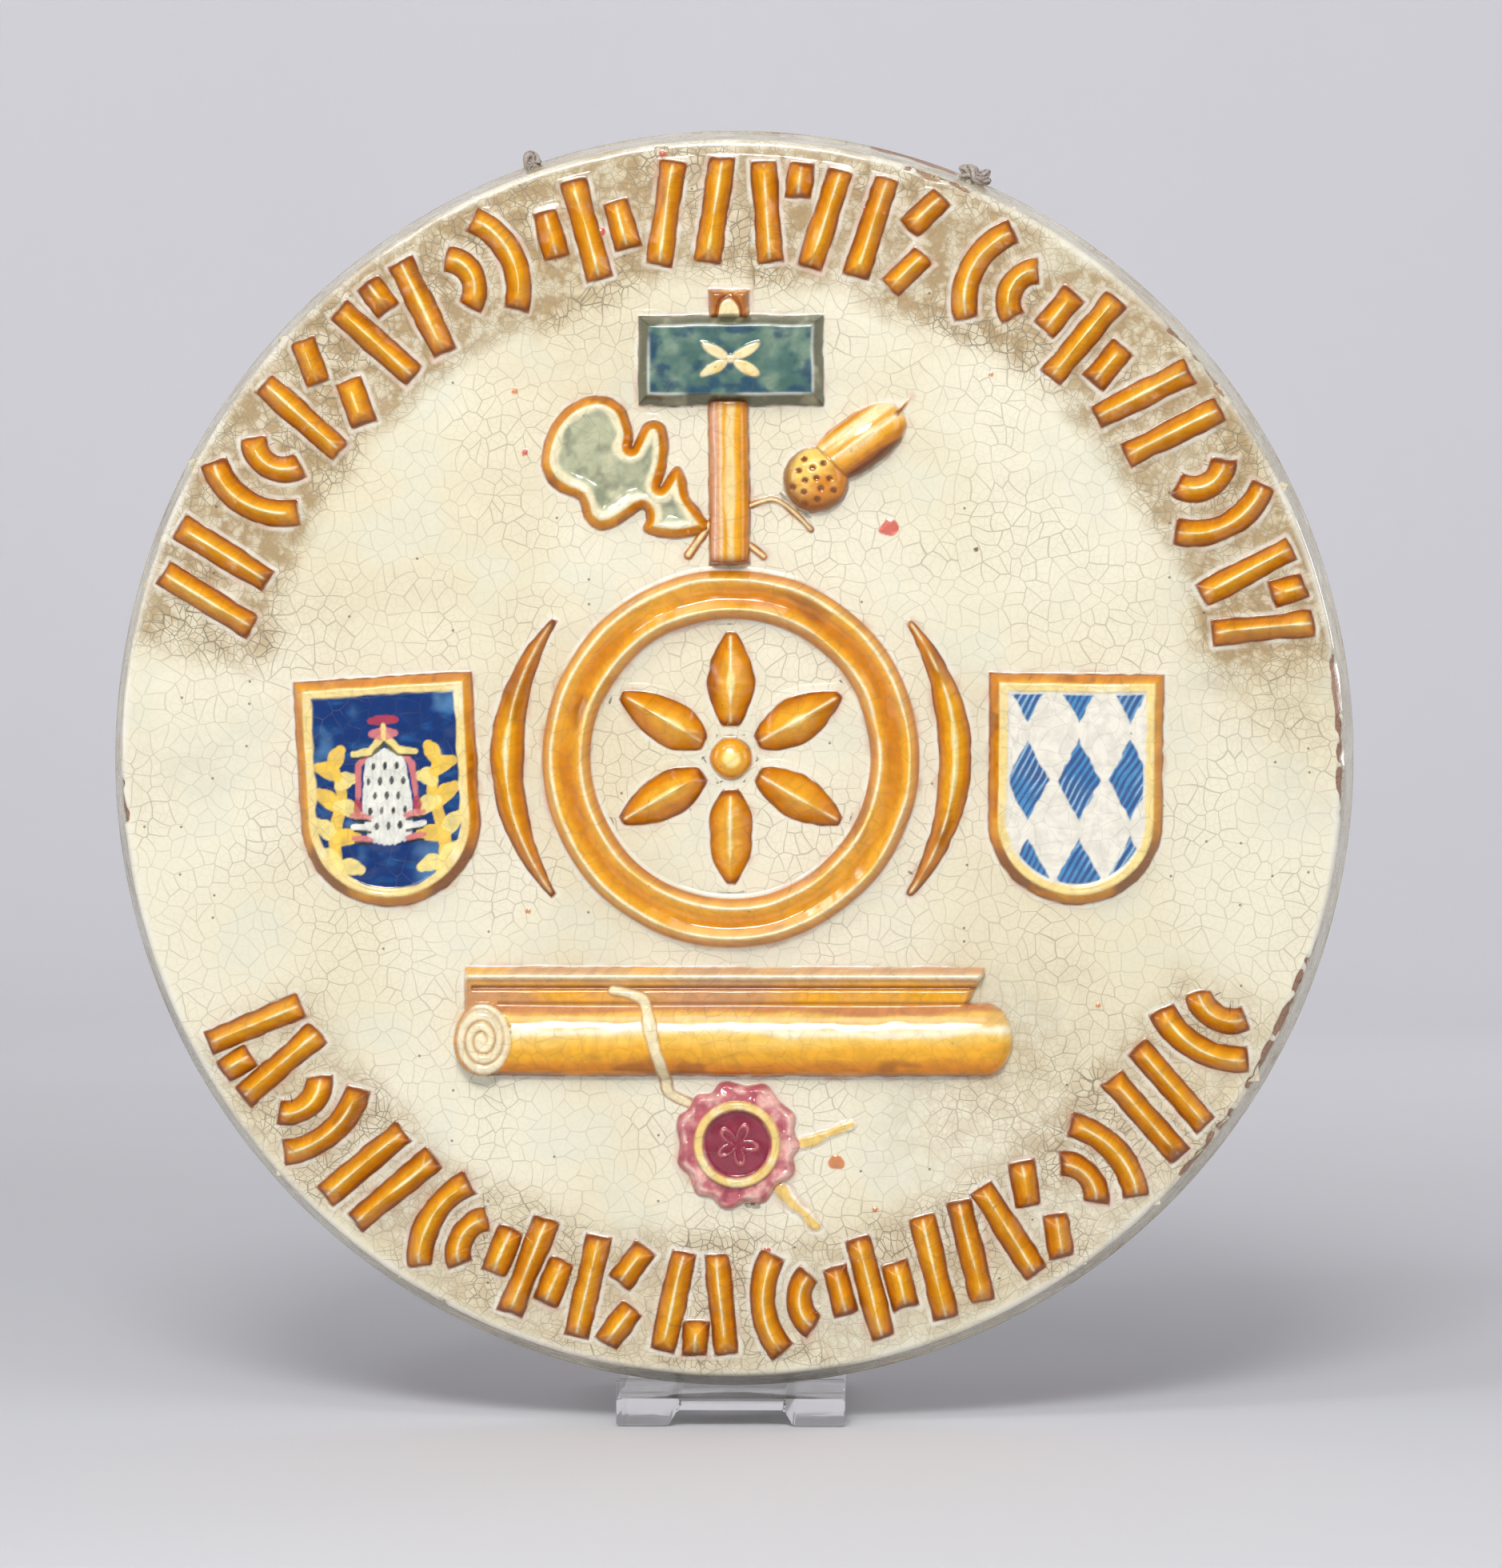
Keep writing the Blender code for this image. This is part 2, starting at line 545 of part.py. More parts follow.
def build():
    clear_scene()
    whole = collection("wall_plaque")
    relief = collection("plaque_relief")
    cutters = collection("plaque_cutters")
    cream = material("cream_glaze", (0.84, 0.79, 0.62), 0.18)
    amber = material("amber_glaze", (0.60, 0.24, 0.03), 0.15)
    slate = material("slate_glaze", (0.10, 0.16, 0.17), 0.2)
    green = material("leaf_glaze", (0.45, 0.44, 0.28), 0.2)
    cobalt = material("cobalt_glaze", (0.01, 0.05, 0.25), 0.2)
    white = material("white_glaze", (0.78, 0.76, 0.68), 0.2)
    crimson = material("crimson_glaze", (0.42, 0.09, 0.12), 0.2)
    clear = material("clear_plastic", (0.95, 0.96, 0.97), 0.03, transmission=1.0)
    twine = material("twine", (0.36, 0.32, 0.25), 0.9)
    plaque = disc(whole, cream)
    ridges("row_upper", row_lines(UPPER_ROW, UPPER_CELLS, 1), STROKE_WIDTH, STROKE_HEIGHT, relief, amber)
    ridges("row_lower", row_lines(LOWER_ROW, LOWER_CELLS, -1), STROKE_WIDTH, STROKE_HEIGHT, relief, amber)
    emblem(relief, amber)
    hammer(relief, slate, amber)
    oak(relief, green, amber)
    shield("shield_left", (-107.5 * MM, 25.2 * MM), 55.5 * MM, 3.3, relief, cobalt)
    shield("shield_right", (106.4 * MM, 26.0 * MM), 53.7 * MM, -0.6, relief, white)
    scroll(relief, amber)
    seal(relief, crimson)
    for piece in relief.objects:
        make_tool(piece)
    boolean(plaque, relief, "UNION")
    cord_holes(cutters)
    boolean(plaque, cutters, "DIFFERENCE")
    cradle(whole, clear)
    cord(whole, twine)


build()
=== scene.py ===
"""Looks of the round glazed-ceramic plaque: modelled relief, crackled glaze, twine and clear cradle."""
import math

import bmesh
import bpy
import numpy as np
from mathutils import Matrix, Vector


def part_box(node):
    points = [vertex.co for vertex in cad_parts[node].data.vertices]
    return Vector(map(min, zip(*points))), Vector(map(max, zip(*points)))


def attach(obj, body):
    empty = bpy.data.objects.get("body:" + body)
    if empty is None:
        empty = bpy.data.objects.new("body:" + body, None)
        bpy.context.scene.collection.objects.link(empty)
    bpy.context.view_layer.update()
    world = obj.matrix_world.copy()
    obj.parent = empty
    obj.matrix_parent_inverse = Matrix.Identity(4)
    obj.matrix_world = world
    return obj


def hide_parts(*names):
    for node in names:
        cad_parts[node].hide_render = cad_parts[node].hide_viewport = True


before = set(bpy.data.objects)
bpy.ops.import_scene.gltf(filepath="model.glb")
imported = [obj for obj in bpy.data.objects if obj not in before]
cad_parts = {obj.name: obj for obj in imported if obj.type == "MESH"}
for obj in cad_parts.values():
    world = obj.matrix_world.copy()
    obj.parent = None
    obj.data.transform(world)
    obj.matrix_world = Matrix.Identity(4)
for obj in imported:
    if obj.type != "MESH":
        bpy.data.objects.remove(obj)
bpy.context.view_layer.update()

# Places read from the frame, in metres
PLAQUE_LOW, PLAQUE_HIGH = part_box("plaque")
DISC_DEPTH = 0.026
FACE_Y = PLAQUE_HIGH.y - DISC_DEPTH
CENTRE_Z = (PLAQUE_LOW.z + PLAQUE_HIGH.z) / 2

# Sizes below are millimetres in the face's plane:
# x to the right, z up from the disc's middle, h out of the face
FACE_RADIUS = 189.7
BACK_RADIUS = 195.1
OVAL = 0.006
SLAB_DEPTH = 14.0
RECESS_RADIUS = 171.0
RECESS_SLOPE = 3.0
ROW_RADIUS = 168.6
STROKE_WIDTH = 8.2
STROKE_HEIGHT = 5.0
MARGIN = 3.0  # plain ground modelled round each stroke
APRON_DIP = 0.06  # how far that ground's outer edge sinks into the face
PROUD = 0.02  # how far that ground stands off the face
TALLEST = (FACE_Y - PLAQUE_LOW.y) * 1000 - 0.05  # keeps the relief inside the frame's box

# Camera
FRAME_HEIGHT = 0.4827
CAMERA_DISTANCE = 1.6
CAMERA_AZIMUTH = math.radians(1.2)
CAMERA_LIFT = math.radians(0.4)
FRAME_CENTRE = Vector((0.0062, FACE_Y, CENTRE_Z - 0.0079))
SENSOR = 36.0


def linked(name, data):
    """A new object with this data, in the scene."""
    made = bpy.data.objects.new(name, data)
    bpy.context.scene.collection.objects.link(made)
    return made


def aimed(thing, direction):
    """Turn a camera or lamp to look this way."""
    thing.rotation_mode = "QUATERNION"
    thing.rotation_quaternion = direction.to_track_quat("-Z", "Y")


def make_camera():
    data = bpy.data.cameras.new("camera")
    data.sensor_width = SENSOR
    data.lens = SENSOR * CAMERA_DISTANCE / FRAME_HEIGHT
    made = linked("camera", data)
    away = Vector((math.sin(CAMERA_AZIMUTH), -math.cos(CAMERA_AZIMUTH), math.sin(CAMERA_LIFT))).normalized()
    made.location = FRAME_CENTRE + away * CAMERA_DISTANCE
    aimed(made, -away)
    bpy.context.scene.camera = made


# Numeric helpers

def ramp(low, high, value):
    """0 below low, 1 above high, smooth between."""
    t = np.clip((value - low) / (high - low), 0.0, 1.0)
    return t * t * (3 - 2 * t)


def bell(value, middle, width):
    """1 where the value is the middle, falling to nearly 0 two widths away."""
    return np.exp(-((value - middle) / width) ** 2)


def dome(share):
    """Height of a quarter circle, from 0 at share 0 to 1 at share 1."""
    return np.sqrt(np.clip(1 - (1 - np.clip(share, 0, 1)) ** 2, 0, 1))


def lattice(ix, iz, seed):
    """A repeatable number from 0 to 1 for each whole-number point."""
    value = np.sin(ix * 127.1 + iz * 311.7 + seed * 74.7) * 43758.5453
    return value - np.floor(value)


def noise(x, z, size, seed):
    """Smooth noise from -1 to 1 with bumps of about this size."""
    u, v = np.asarray(x) / size, np.asarray(z) / size
    iu, iv = np.floor(u), np.floor(v)
    fu, fv = u - iu, v - iv
    fu, fv = fu * fu * (3 - 2 * fu), fv * fv * (3 - 2 * fv)
    low = lattice(iu, iv, seed) * (1 - fu) + lattice(iu + 1, iv, seed) * fu
    high = lattice(iu, iv + 1, seed) * (1 - fu) + lattice(iu + 1, iv + 1, seed) * fu
    return 2 * (low * (1 - fv) + high * fv) - 1


def layered(x, z, size, seed):
    """Noise from -1 to 1 in three sizes at once."""
    return (noise(x, z, size, seed) + 0.5 * noise(x, z, size / 2.1, seed + 5)
            + 0.25 * noise(x, z, size / 4.3, seed + 9)) / 1.75


def mix(a, b, share):
    """The colour that lies this share of the way from a to b."""
    share = np.asarray(share)[..., None]
    return np.asarray(a) * (1 - share) + np.asarray(b) * share


def segment_distance(x, z, a, b):
    """Distance from the line between a and b, and the share of the way along it."""
    ax, az, bx, bz = *a, *b
    along = np.clip(((x - ax) * (bx - ax) + (z - az) * (bz - az)) / ((bx - ax) ** 2 + (bz - az) ** 2), 0, 1)
    return np.hypot(x - ax - along * (bx - ax), z - az - along * (bz - az)), along


def line_distance(x, z, points):
    """Distance from a run of lines, and the share of the way along it."""
    best, place = np.full(np.shape(x), 1e9), np.zeros(np.shape(x))
    count = len(points) - 1
    for i in range(count):
        near, along = segment_distance(x, z, points[i], points[i + 1])
        place = np.where(near < best, (i + along) / count, place)
        best = np.minimum(best, near)
    return best, place


def inside_distance(x, z, outline):
    """Distance from a closed outline, positive inside it."""
    near = line_distance(x, z, list(outline) + [outline[0]])[0]
    inside = np.zeros(np.shape(x), bool)
    for (ax, az), (bx, bz) in zip(outline, list(outline[1:]) + [outline[0]]):
        if az != bz:
            crosses = (az > z) != (bz > z)
            inside ^= crosses & (x < (bx - ax) * (z - az) / (bz - az) + ax)
    return np.where(inside, near, -near)


def ellipse_distance(x, z, centre, half_x, half_z, turn=0.0):
    """About the distance from an ellipse's edge, positive inside it."""
    c, s = math.cos(turn), math.sin(turn)
    u = ((x - centre[0]) * c + (z - centre[1]) * s) / half_x
    v = (-(x - centre[0]) * s + (z - centre[1]) * c) / half_z
    return (1 - np.hypot(u, v)) * min(half_x, half_z)


def arc(centre, radius, start, end, count):
    angles = [math.radians(start + (end - start) * i / count) for i in range(count + 1)]
    return [(centre[0] + radius * math.cos(a), centre[1] + radius * math.sin(a)) for a in angles]


def smooth(points, per_span, closed):
    """A Catmull-Rom line through the points."""
    line, count = [], len(points)
    for i in range(count if closed else count - 1):
        if closed:
            a, b, c, d = (Vector(points[(i + k) % count]) for k in (-1, 0, 1, 2))
        else:
            a, b, c, d = (Vector(points[min(max(i + k, 0), count - 1)]) for k in (-1, 0, 1, 2))
        for step in range(per_span):
            t = step / per_span
            line.append(tuple(0.5 * (2 * b + (c - a) * t + (2 * a - 5 * b + 4 * c - d) * t * t
                                     + (3 * b - 3 * c + d - a) * t ** 3)))
    return line if closed else line + [tuple(points[-1])]


# The hand-made ground that everything sits on

def face_wave(x, z):
    """The face's slight hand-made unevenness."""
    return 0.22 * noise(x, z, 62, 3) + 0.10 * noise(x, z, 21, 8)


# Angles of each row's first and last cell, in degrees from the right
UPPER_ROW = (160.6, 16.8)
LOWER_ROW = (211.7, 330.4)


def row_cover(x, z):
    """How far a point lies within the two rows of strokes."""
    radius = np.hypot(x, z) + 5.0 * layered(x, z, 17, 35)
    angle = np.degrees(np.arctan2(z, x)) % 360
    band = ramp(143, 153, radius) * (1 - ramp(186, 194, radius))
    upper = ramp(6, 14, angle) * (1 - ramp(164, 172, angle))
    lower = ramp(205, 211, angle) * (1 - ramp(332, 338, angle))
    return band * (upper + 0.45 * lower)


def stain_at(x, z):
    """Brownish soiling in the glaze: strong between the strokes, faint in clouds elsewhere."""
    clouds = ramp(0.12, 0.75, layered(x, z, 46, 21))
    patches = 1.0 + 0.6 * layered(x, z, 14, 33)
    low_right = (1 - ramp(15, 55, np.hypot(x - 78, z + 100))) * 0.30
    right_edge = (1 - ramp(12, 46, np.hypot(x - 166, z - 36))) * 0.25
    return np.clip(row_cover(x, z) * patches + clouds * 0.16 + low_right + right_edge, 0, 1)


def whole_place(x, z, h):
    """Places in metres of points on the face, raised by h."""
    return np.stack([x / 1000, FACE_Y - h / 1000, CENTRE_Z + z / 1000], axis=-1)


def leaning(places):
    """Flat texture coordinates of places on the face; they lean, so that steep walls aren't smeared."""
    height = places[..., 1]
    return np.stack([places[..., 0] - 0.45 * height, places[..., 2] - 0.35 * height, 0 * height], axis=-1)


def grid_mesh(name, places, paint, ground, keep=None, flip=False, wrap=False, unrolled=None):
    """A mesh from a grid of places. Paint is RGB and cover; ground is soiling (painted shade on the rim's
    side), clay, and white (partly painted highlight).
    """
    rows, columns = places.shape[:2]
    index = np.arange(rows * columns).reshape(rows, columns)
    right = np.roll(index, -1, 1) if wrap else index[:, 1:]
    left = index if wrap else index[:, :-1]
    quads = np.stack([left[:-1], right[:-1], right[1:], left[1:]], axis=-1).reshape(-1, 4)
    if keep is not None:
        quads = quads[keep.reshape(-1)[quads].all(1)]
    if flip:
        quads = quads[:, ::-1]
    used = np.unique(quads)
    renumber = np.zeros(rows * columns, int)
    renumber[used] = np.arange(len(used))
    mesh = bpy.data.meshes.new(name)
    mesh.vertices.add(len(used))
    mesh.vertices.foreach_set("co", places.reshape(-1, 3)[used].astype(np.float32).ravel())
    mesh.loops.add(quads.size)
    mesh.loops.foreach_set("vertex_index", renumber[quads].astype(np.int32).ravel())
    mesh.polygons.add(len(quads))
    mesh.polygons.foreach_set("loop_start", np.arange(0, quads.size, 4, dtype=np.int32))
    mesh.update(calc_edges=True)
    mesh.polygons.foreach_set("use_smooth", np.ones(len(quads), bool))
    for label, values in (("paint", paint), ("ground", ground)):
        layer = mesh.color_attributes.new(label, "FLOAT_COLOR", "POINT")
        layer.data.foreach_set("color", values.reshape(-1, 4)[used].astype(np.float32).ravel())
    flat = leaning(places) if unrolled is None else unrolled
    layer = mesh.attributes.new("unrolled", "FLOAT_VECTOR", "POINT")
    layer.data.foreach_set("vector", flat.reshape(-1, 3)[used].astype(np.float32).ravel())
    return mesh


def joined(name, meshes):
    """One object from several meshes."""
    objects = [linked(name, mesh) for mesh in meshes]
    if len(objects) > 1:
        with bpy.context.temp_override(active_object=objects[0], selected_editable_objects=objects,
                                       object=objects[0], selected_objects=objects):
            bpy.ops.object.join()
    objects[0].name = name
    return objects[0]


def colours(rgb, last):
    """Colour arrays with a fourth value."""
    return np.concatenate([rgb, np.asarray(last)[..., None]], axis=-1)


def ground_values(x, z, clay=None, white=None):
    zero = np.zeros(np.shape(x))
    return np.stack([stain_at(x, z), zero if clay is None else clay, zero if white is None else white,
                     zero + 1], axis=-1)


# Colours, linear
PALE_RIDGE = (0.95, 0.76, 0.28)
GOLD = (0.82, 0.38, 0.016)
AMBER = (0.62, 0.205, 0.004)
POOLED = (0.23, 0.050, 0.003)
BLUSH = (0.58, 0.26, 0.15)


def amber_glaze(rise, x, z, seed, dark=0.0):
    """Amber glaze that runs thin and pale over ridges and pools dark and brown at their foot."""
    streak = layered(x, z, 7.0, seed)
    fine = layered(x, z, 2.3, seed + 2)
    level = np.clip(rise + 0.10 * streak + 0.05 * fine - dark, 0, 1.1)
    colour = mix(POOLED, AMBER, ramp(-0.02, 0.30, level))
    colour = mix(colour, GOLD, ramp(0.32, 0.74, level + 0.16 * streak))
    colour = mix(colour, PALE_RIDGE, ramp(0.82, 0.95, level))
    pools = ramp(0.30, 0.60, layered(x, z, 8, seed + 4)) * (1 - ramp(0.70, 0.92, level))
    colour = mix(colour, POOLED, 0.55 * pools)
    blush = ramp(0.35, 0.9, layered(x, z, 9, seed + 6)) * ramp(0.1, 0.4, level) * (1 - ramp(0.6, 0.9, level))
    return mix(colour, BLUSH, 0.30 * blush)


def bare_rim_and_highlight(distance, x, z):
    """The whitish line just outside a painted edge: partly bare glaze, partly a painted highlight on the
    glaze's fillet.
    """
    wobble = ramp(-0.5, 0.35, layered(x, z, 7, 61))
    return ramp(-1.7, -0.7, distance) * (1 - ramp(-0.25, 0.1, distance)) * 0.80 * wobble


def bled(rgb, cover, distance, x, z, seed):
    """Colour and cover with a faint reddish bleed just outside a painted edge."""
    patch = ramp(0.0, 0.6, layered(x, z, 8, seed))
    bleed = 0.42 * patch * ramp(-2.2, -0.3, distance)
    return mix(BLUSH, rgb, ramp(0.02, 0.5, cover)), np.maximum(cover, bleed)


# Strokes of the two rows and of the emblem

FINE_STEP, COARSE_STEP, END_SHARE = 0.45, 1.0, 1.3
ACROSS_SHARES = np.array([0, .03, .07, .13, .22, .34, .48, .62, .76, .88, .96, 1.0, 1.05, 1.12, 1.22, 1.4])
FOOT_ROUND, HIP_ROUND = 0.45, 0.42
LIP_START, LIP_END, LIP_SINK = 186.0, 187.6, 1.2
CREST = (0.96, 0.84, 0.50)


def stroke_steps(half, total):
    """Steps along a stroke, finer at its ends, and across it, finer at its edges."""
    end = half * END_SHARE
    fine = np.arange(-MARGIN, end, FINE_STEP)
    middle = np.arange(end, total - end, COARSE_STEP)
    along = np.concatenate([fine, middle, total - fine[::-1]])
    if not len(middle):
        along = np.linspace(-MARGIN, total + MARGIN, int((total + 2 * MARGIN) / FINE_STEP))
    span = np.concatenate([ACROSS_SHARES * half, [half + MARGIN]])
    return along, np.concatenate([-span[:0:-1], span])


def stroke_grid(points, half, seed, fade):
    """Ways along and across a stroke, its half width and length, and the places on the face."""
    line = np.array(points, float)
    lengths = np.concatenate([[0], np.cumsum(np.hypot(*np.diff(line, axis=0).T))])
    total = lengths[-1]
    along, across = stroke_steps(half, total)
    inside = np.clip(along, 0, total)
    cx, cz = (np.interp(inside, lengths, line[:, k]) for k in (0, 1))
    tx, tz = np.gradient(cx), np.gradient(cz)
    moving = np.hypot(tx, tz) > 1e-6
    tx, tz = (np.interp(along, along[moving], t[moving]) for t in (tx, tz))
    size = np.hypot(tx, tz)
    tx, tz = tx / size, tz / size
    cx, cz = cx + tx * (along - inside), cz + tz * (along - inside)
    s, t = np.meshgrid(along, across, indexing="ij")
    width = half * (1 + 0.085 * noise(cx, cz, 8, seed) + 0.03 * noise(cx, cz, 3, seed + 2))[:, None]
    if fade is not None:
        width = width * np.interp(s / total, np.linspace(0, 1, len(fade)), fade)
    t = np.where(np.abs(t) <= half, t * width / half, np.sign(t) * (np.abs(t) - half + width))
    return s, t, width, total, cx[:, None] - tz[:, None] * t, cz[:, None] + tx[:, None] * t


def stroke_mesh(name, points, half, height, seed, fade=None, dark=0.0):
    """A raised roof-ridged stroke along the points, its ends hipped, on an apron of plain ground."""
    s, t, width, total, x, z = stroke_grid(points, half, seed, fade)
    ends = np.minimum(s, total - s) + 0.45 * noise(x, z, 4.5, seed + 1)
    lean = 0.55 * noise(x, z, 16, seed + 11)
    sides = width - np.abs(t) + lean * np.sign(t) * np.clip(1 - np.abs(t) / width, 0, 1)
    inner = -HIP_ROUND * np.logaddexp(-sides / HIP_ROUND, -ends / HIP_ROUND)
    outer = -np.hypot(np.maximum(np.abs(t) - width, 0), np.maximum(-ends, 0))
    distance = np.where(inner > 0, inner, outer)
    rise = np.clip(distance / half, 0, 1) ** 0.9
    roof = height * (1 + 0.06 * noise(x, z, 13, seed + 3)) * rise
    h = FOOT_ROUND * np.log1p(np.exp(np.clip((roof - 0.4 * (distance < 0)) / FOOT_ROUND, -30, 30)))
    h = h - 0.6 * FOOT_ROUND * math.log(2) * (distance >= 0) * np.exp(-roof / FOOT_ROUND)
    h = h * ramp(-2.4, -0.2, distance) + 0.16 * noise(x, z, 3.8, seed + 7) * ramp(0.3, 1.5, distance)
    edge = (np.abs(t) > width + MARGIN - 0.01) | (s < -MARGIN + 0.01) | (s > total + MARGIN - 0.01)
    sunk = LIP_SINK * ramp(LIP_START, LIP_END, np.hypot(x, z)) * (distance < 0)
    h = h + face_wave(x, z) + PROUD - APRON_DIP * edge - sunk
    end_pool = 0.16 * (1 - ramp(0.5, 4.5, ends)) * ramp(-0.3, 0.5, noise(x, z, 6, seed + 13))
    glazed = amber_glaze(np.maximum(rise - end_pool, 0), s * 0.35, t * 1.3, seed, dark)
    crest = bell(t, 0.5 * lean, 0.42) * ramp(0.7, 2.2, ends) * ramp(-0.7, 0.1, noise(x, z, 5, seed + 17))
    cover = ramp(-0.25, 0.25, distance + 0.2 * noise(x, z, 2.5, seed))
    rgb, cover = bled(mix(glazed, CREST, 0.9 * crest), cover, distance, x, z, seed + 15)
    ground = ground_values(x, z, white=bare_rim_and_highlight(distance, x, z))
    return grid_mesh(name, whole_place(x, z, h), colours(rgb, cover), ground, flip=True)


def cell_strokes(kind):
    """Strokes of one cell, in millimetres across and up; they touch nothing and spell nothing."""
    if kind == "slanted pair":
        return [[(-11, -16), (-4, 16)], [(4, -16), (11, 16)]]
    if kind == "nested arcs":
        return [arc((-15, 0), 23, -42, 42, 14), arc((-15, 0), 9.5, -62, 62, 10)]
    if kind == "turned arcs":
        return [[(-u, v) for u, v in line] for line in cell_strokes("nested arcs")]
    if kind == "fan":
        return [[(-6, -16), (-12, 15)], [(6, -16), (12, 15)], [(0, 5), (0, 16)]]
    if kind == "turned fan":
        return [[(u, -v) for u, v in line] for line in cell_strokes("fan")]
    if kind == "bar and slants":
        return [[(-9, -16), (-9, 16)], [(2, 3), (9, 16)], [(2, -16), (9, -3)]]
    return [[(0, -16), (0, 16)], [(-11, -6), (-11, 9)], [(11, -9), (11, 6)]]


WIDEST_CELL = 32.5
UPPER_CELLS = ("slanted pair", "turned arcs", "bar and slants", "fan", "nested arcs", "three bars",
               "slanted pair", "fan", "bar and slants", "turned arcs", "three bars", "slanted pair",
               "nested arcs", "fan")
LOWER_CELLS = ("turned fan", "nested arcs", "slanted pair", "turned arcs", "three bars", "bar and slants",
               "turned fan", "turned arcs", "three bars", "slanted pair", "bar and slants", "nested arcs",
               "slanted pair", "turned arcs")


def row_meshes(name, span, cells, up, dark):
    """The strokes of one row; up is 1 when their tops point outwards, -1 when they point inwards."""
    meshes = []
    pitch = (span[1] - span[0]) / (len(cells) - 1)
    squeeze = abs(math.radians(pitch)) * ROW_RADIUS / WIDEST_CELL
    for i, kind in enumerate(cells):
        angle = math.radians(span[0] + pitch * i)
        outward = Vector((math.cos(angle), math.sin(angle)))
        across = Vector((outward.y, -outward.x)) * up
        for k, stroke in enumerate(cell_strokes(kind)):
            placed = [outward * (ROW_RADIUS + up * v) + across * u * squeeze for u, v in stroke]
            meshes.append(stroke_mesh(name, [tuple(p) for p in placed], STROKE_WIDTH / 2, STROKE_HEIGHT,
                                      40 + 7 * i + 3 * k + (0 if up > 0 else 200), dark=dark))
    return meshes


RING_OUTER, RING_INNER = 58.0, 43.0
RING_LIP = (RING_OUTER - RING_INNER) / 5
RING_CREST, RING_SUNK = 6.5, 4.6
RING_STEP, RING_STEPS = 0.38, 420
RING_LINE = (0.97, 0.88, 0.58)


def ring_height(inward):
    """Section of the emblem's ring by the way in from its nearer edge: two ridges, a sunk band between."""
    places = (-1.2, -0.2, 0.8, RING_LIP - 0.35, RING_LIP, RING_LIP + 0.35, 2 * RING_LIP, 2.5 * RING_LIP)
    heights = (0, 0.5, 2.2, 5.9, RING_CREST, 6.0, RING_SUNK, RING_SUNK - 0.15)
    return np.interp(inward, places, heights)


def ring_mesh():
    inner, outer = RING_INNER - MARGIN, RING_OUTER + MARGIN
    radii = np.concatenate([[inner], np.arange(RING_INNER - 2.2, RING_OUTER + 2.2, RING_STEP), [outer]])
    r, a = np.meshgrid(radii, np.linspace(0, math.tau, RING_STEPS, endpoint=False), indexing="ij")
    x, z = r * np.cos(a), r * np.sin(a)
    warped = r + 0.35 * noise(x, z, 11, 71)
    distance = np.minimum(warped - RING_INNER, RING_OUTER - warped)
    section = ring_height(distance)
    h = section * (1 + 0.03 * noise(x, z, 17, 72)) + 0.08 * noise(x, z, 4, 73) * ramp(0.5, 2, distance)
    edge = (r < inner + 0.01) | (r > outer - 0.01)
    h = h + face_wave(x, z) + PROUD - APRON_DIP * edge
    rise = section / RING_CREST
    rise = np.where(distance > RING_LIP, 0.42 + (rise - 0.68) * 1.75, rise)
    pale = bell(distance, RING_LIP, 0.55) * ramp(-0.8, 0.0, noise(x, z, 9, 76))
    glazed = mix(amber_glaze(rise, a * RING_OUTER * 0.25, r, 74), RING_LINE, 0.9 * pale)
    rgb, cover = bled(glazed, ramp(-0.25, 0.25, distance), distance, x, z, 75)
    ground = ground_values(x, z, white=bare_rim_and_highlight(distance, x, z))
    return grid_mesh("emblem_ring", whole_place(x, z, h), colours(rgb, cover), ground, flip=True, wrap=True)


PATCH_APRON = 2.4


def field(name, middle, half, step, shape, bleeds=True):
    """A raised patch over a box of the face; shape(x, z) gives distance inside, height, colour and cover."""
    x, z = np.meshgrid(*(np.arange(c - reach, c + reach + step, step) for c, reach in zip(middle, half)))
    distance, h, rgb, cover = shape(x, z)
    keep = distance > -PATCH_APRON
    edge = keep & ~(distance > -PATCH_APRON + 1.3 * step)
    h = np.minimum(h + face_wave(x, z) + PROUD, TALLEST) - APRON_DIP * edge
    white = None
    if bleeds:
        rgb, cover = bled(rgb, cover, distance, x, z, 77)
        white = bare_rim_and_highlight(distance, x, z)
    ground = ground_values(x, z, white=white)
    return grid_mesh(name, whole_place(x, z, h), colours(rgb, cover), ground, keep=keep)


def painted(distance, x, z, seed):
    """Cover of a painted patch, its edge slightly uneven."""
    return ramp(-0.3, 0.3, distance + 0.25 * noise(x, z, 2.5, seed))


BOSS_RADIUS, BOSS_HEIGHT, BOSS_BOX = 6.5, 4.3, 9


def boss_shape(x, z):
    reach = BOSS_RADIUS - np.hypot(x, z) + 0.2 * noise(x, z, 4, 81)
    rise = dome(reach / BOSS_RADIUS)
    return reach, BOSS_HEIGHT * rise, amber_glaze(rise * 0.97, x, z, 82), painted(reach, x, z, 83)


PETALS, PETAL_REACH, PETAL_HALF = 6, (9.5, 39), 7.0
PETAL_FADE = [math.sin(math.pi * (0.05 + 0.90 * k / 24) ** 0.85) ** 0.8 for k in range(25)]
CRESCENT_RADIUS, CRESCENT_SPREAD, CRESCENT_HALF = 69.0, 38, 5.0
CRESCENT_FADE = [0.2 + 0.8 * math.sin(math.pi * k / 16) for k in range(17)]
EMBLEM_HEIGHT = 6.0


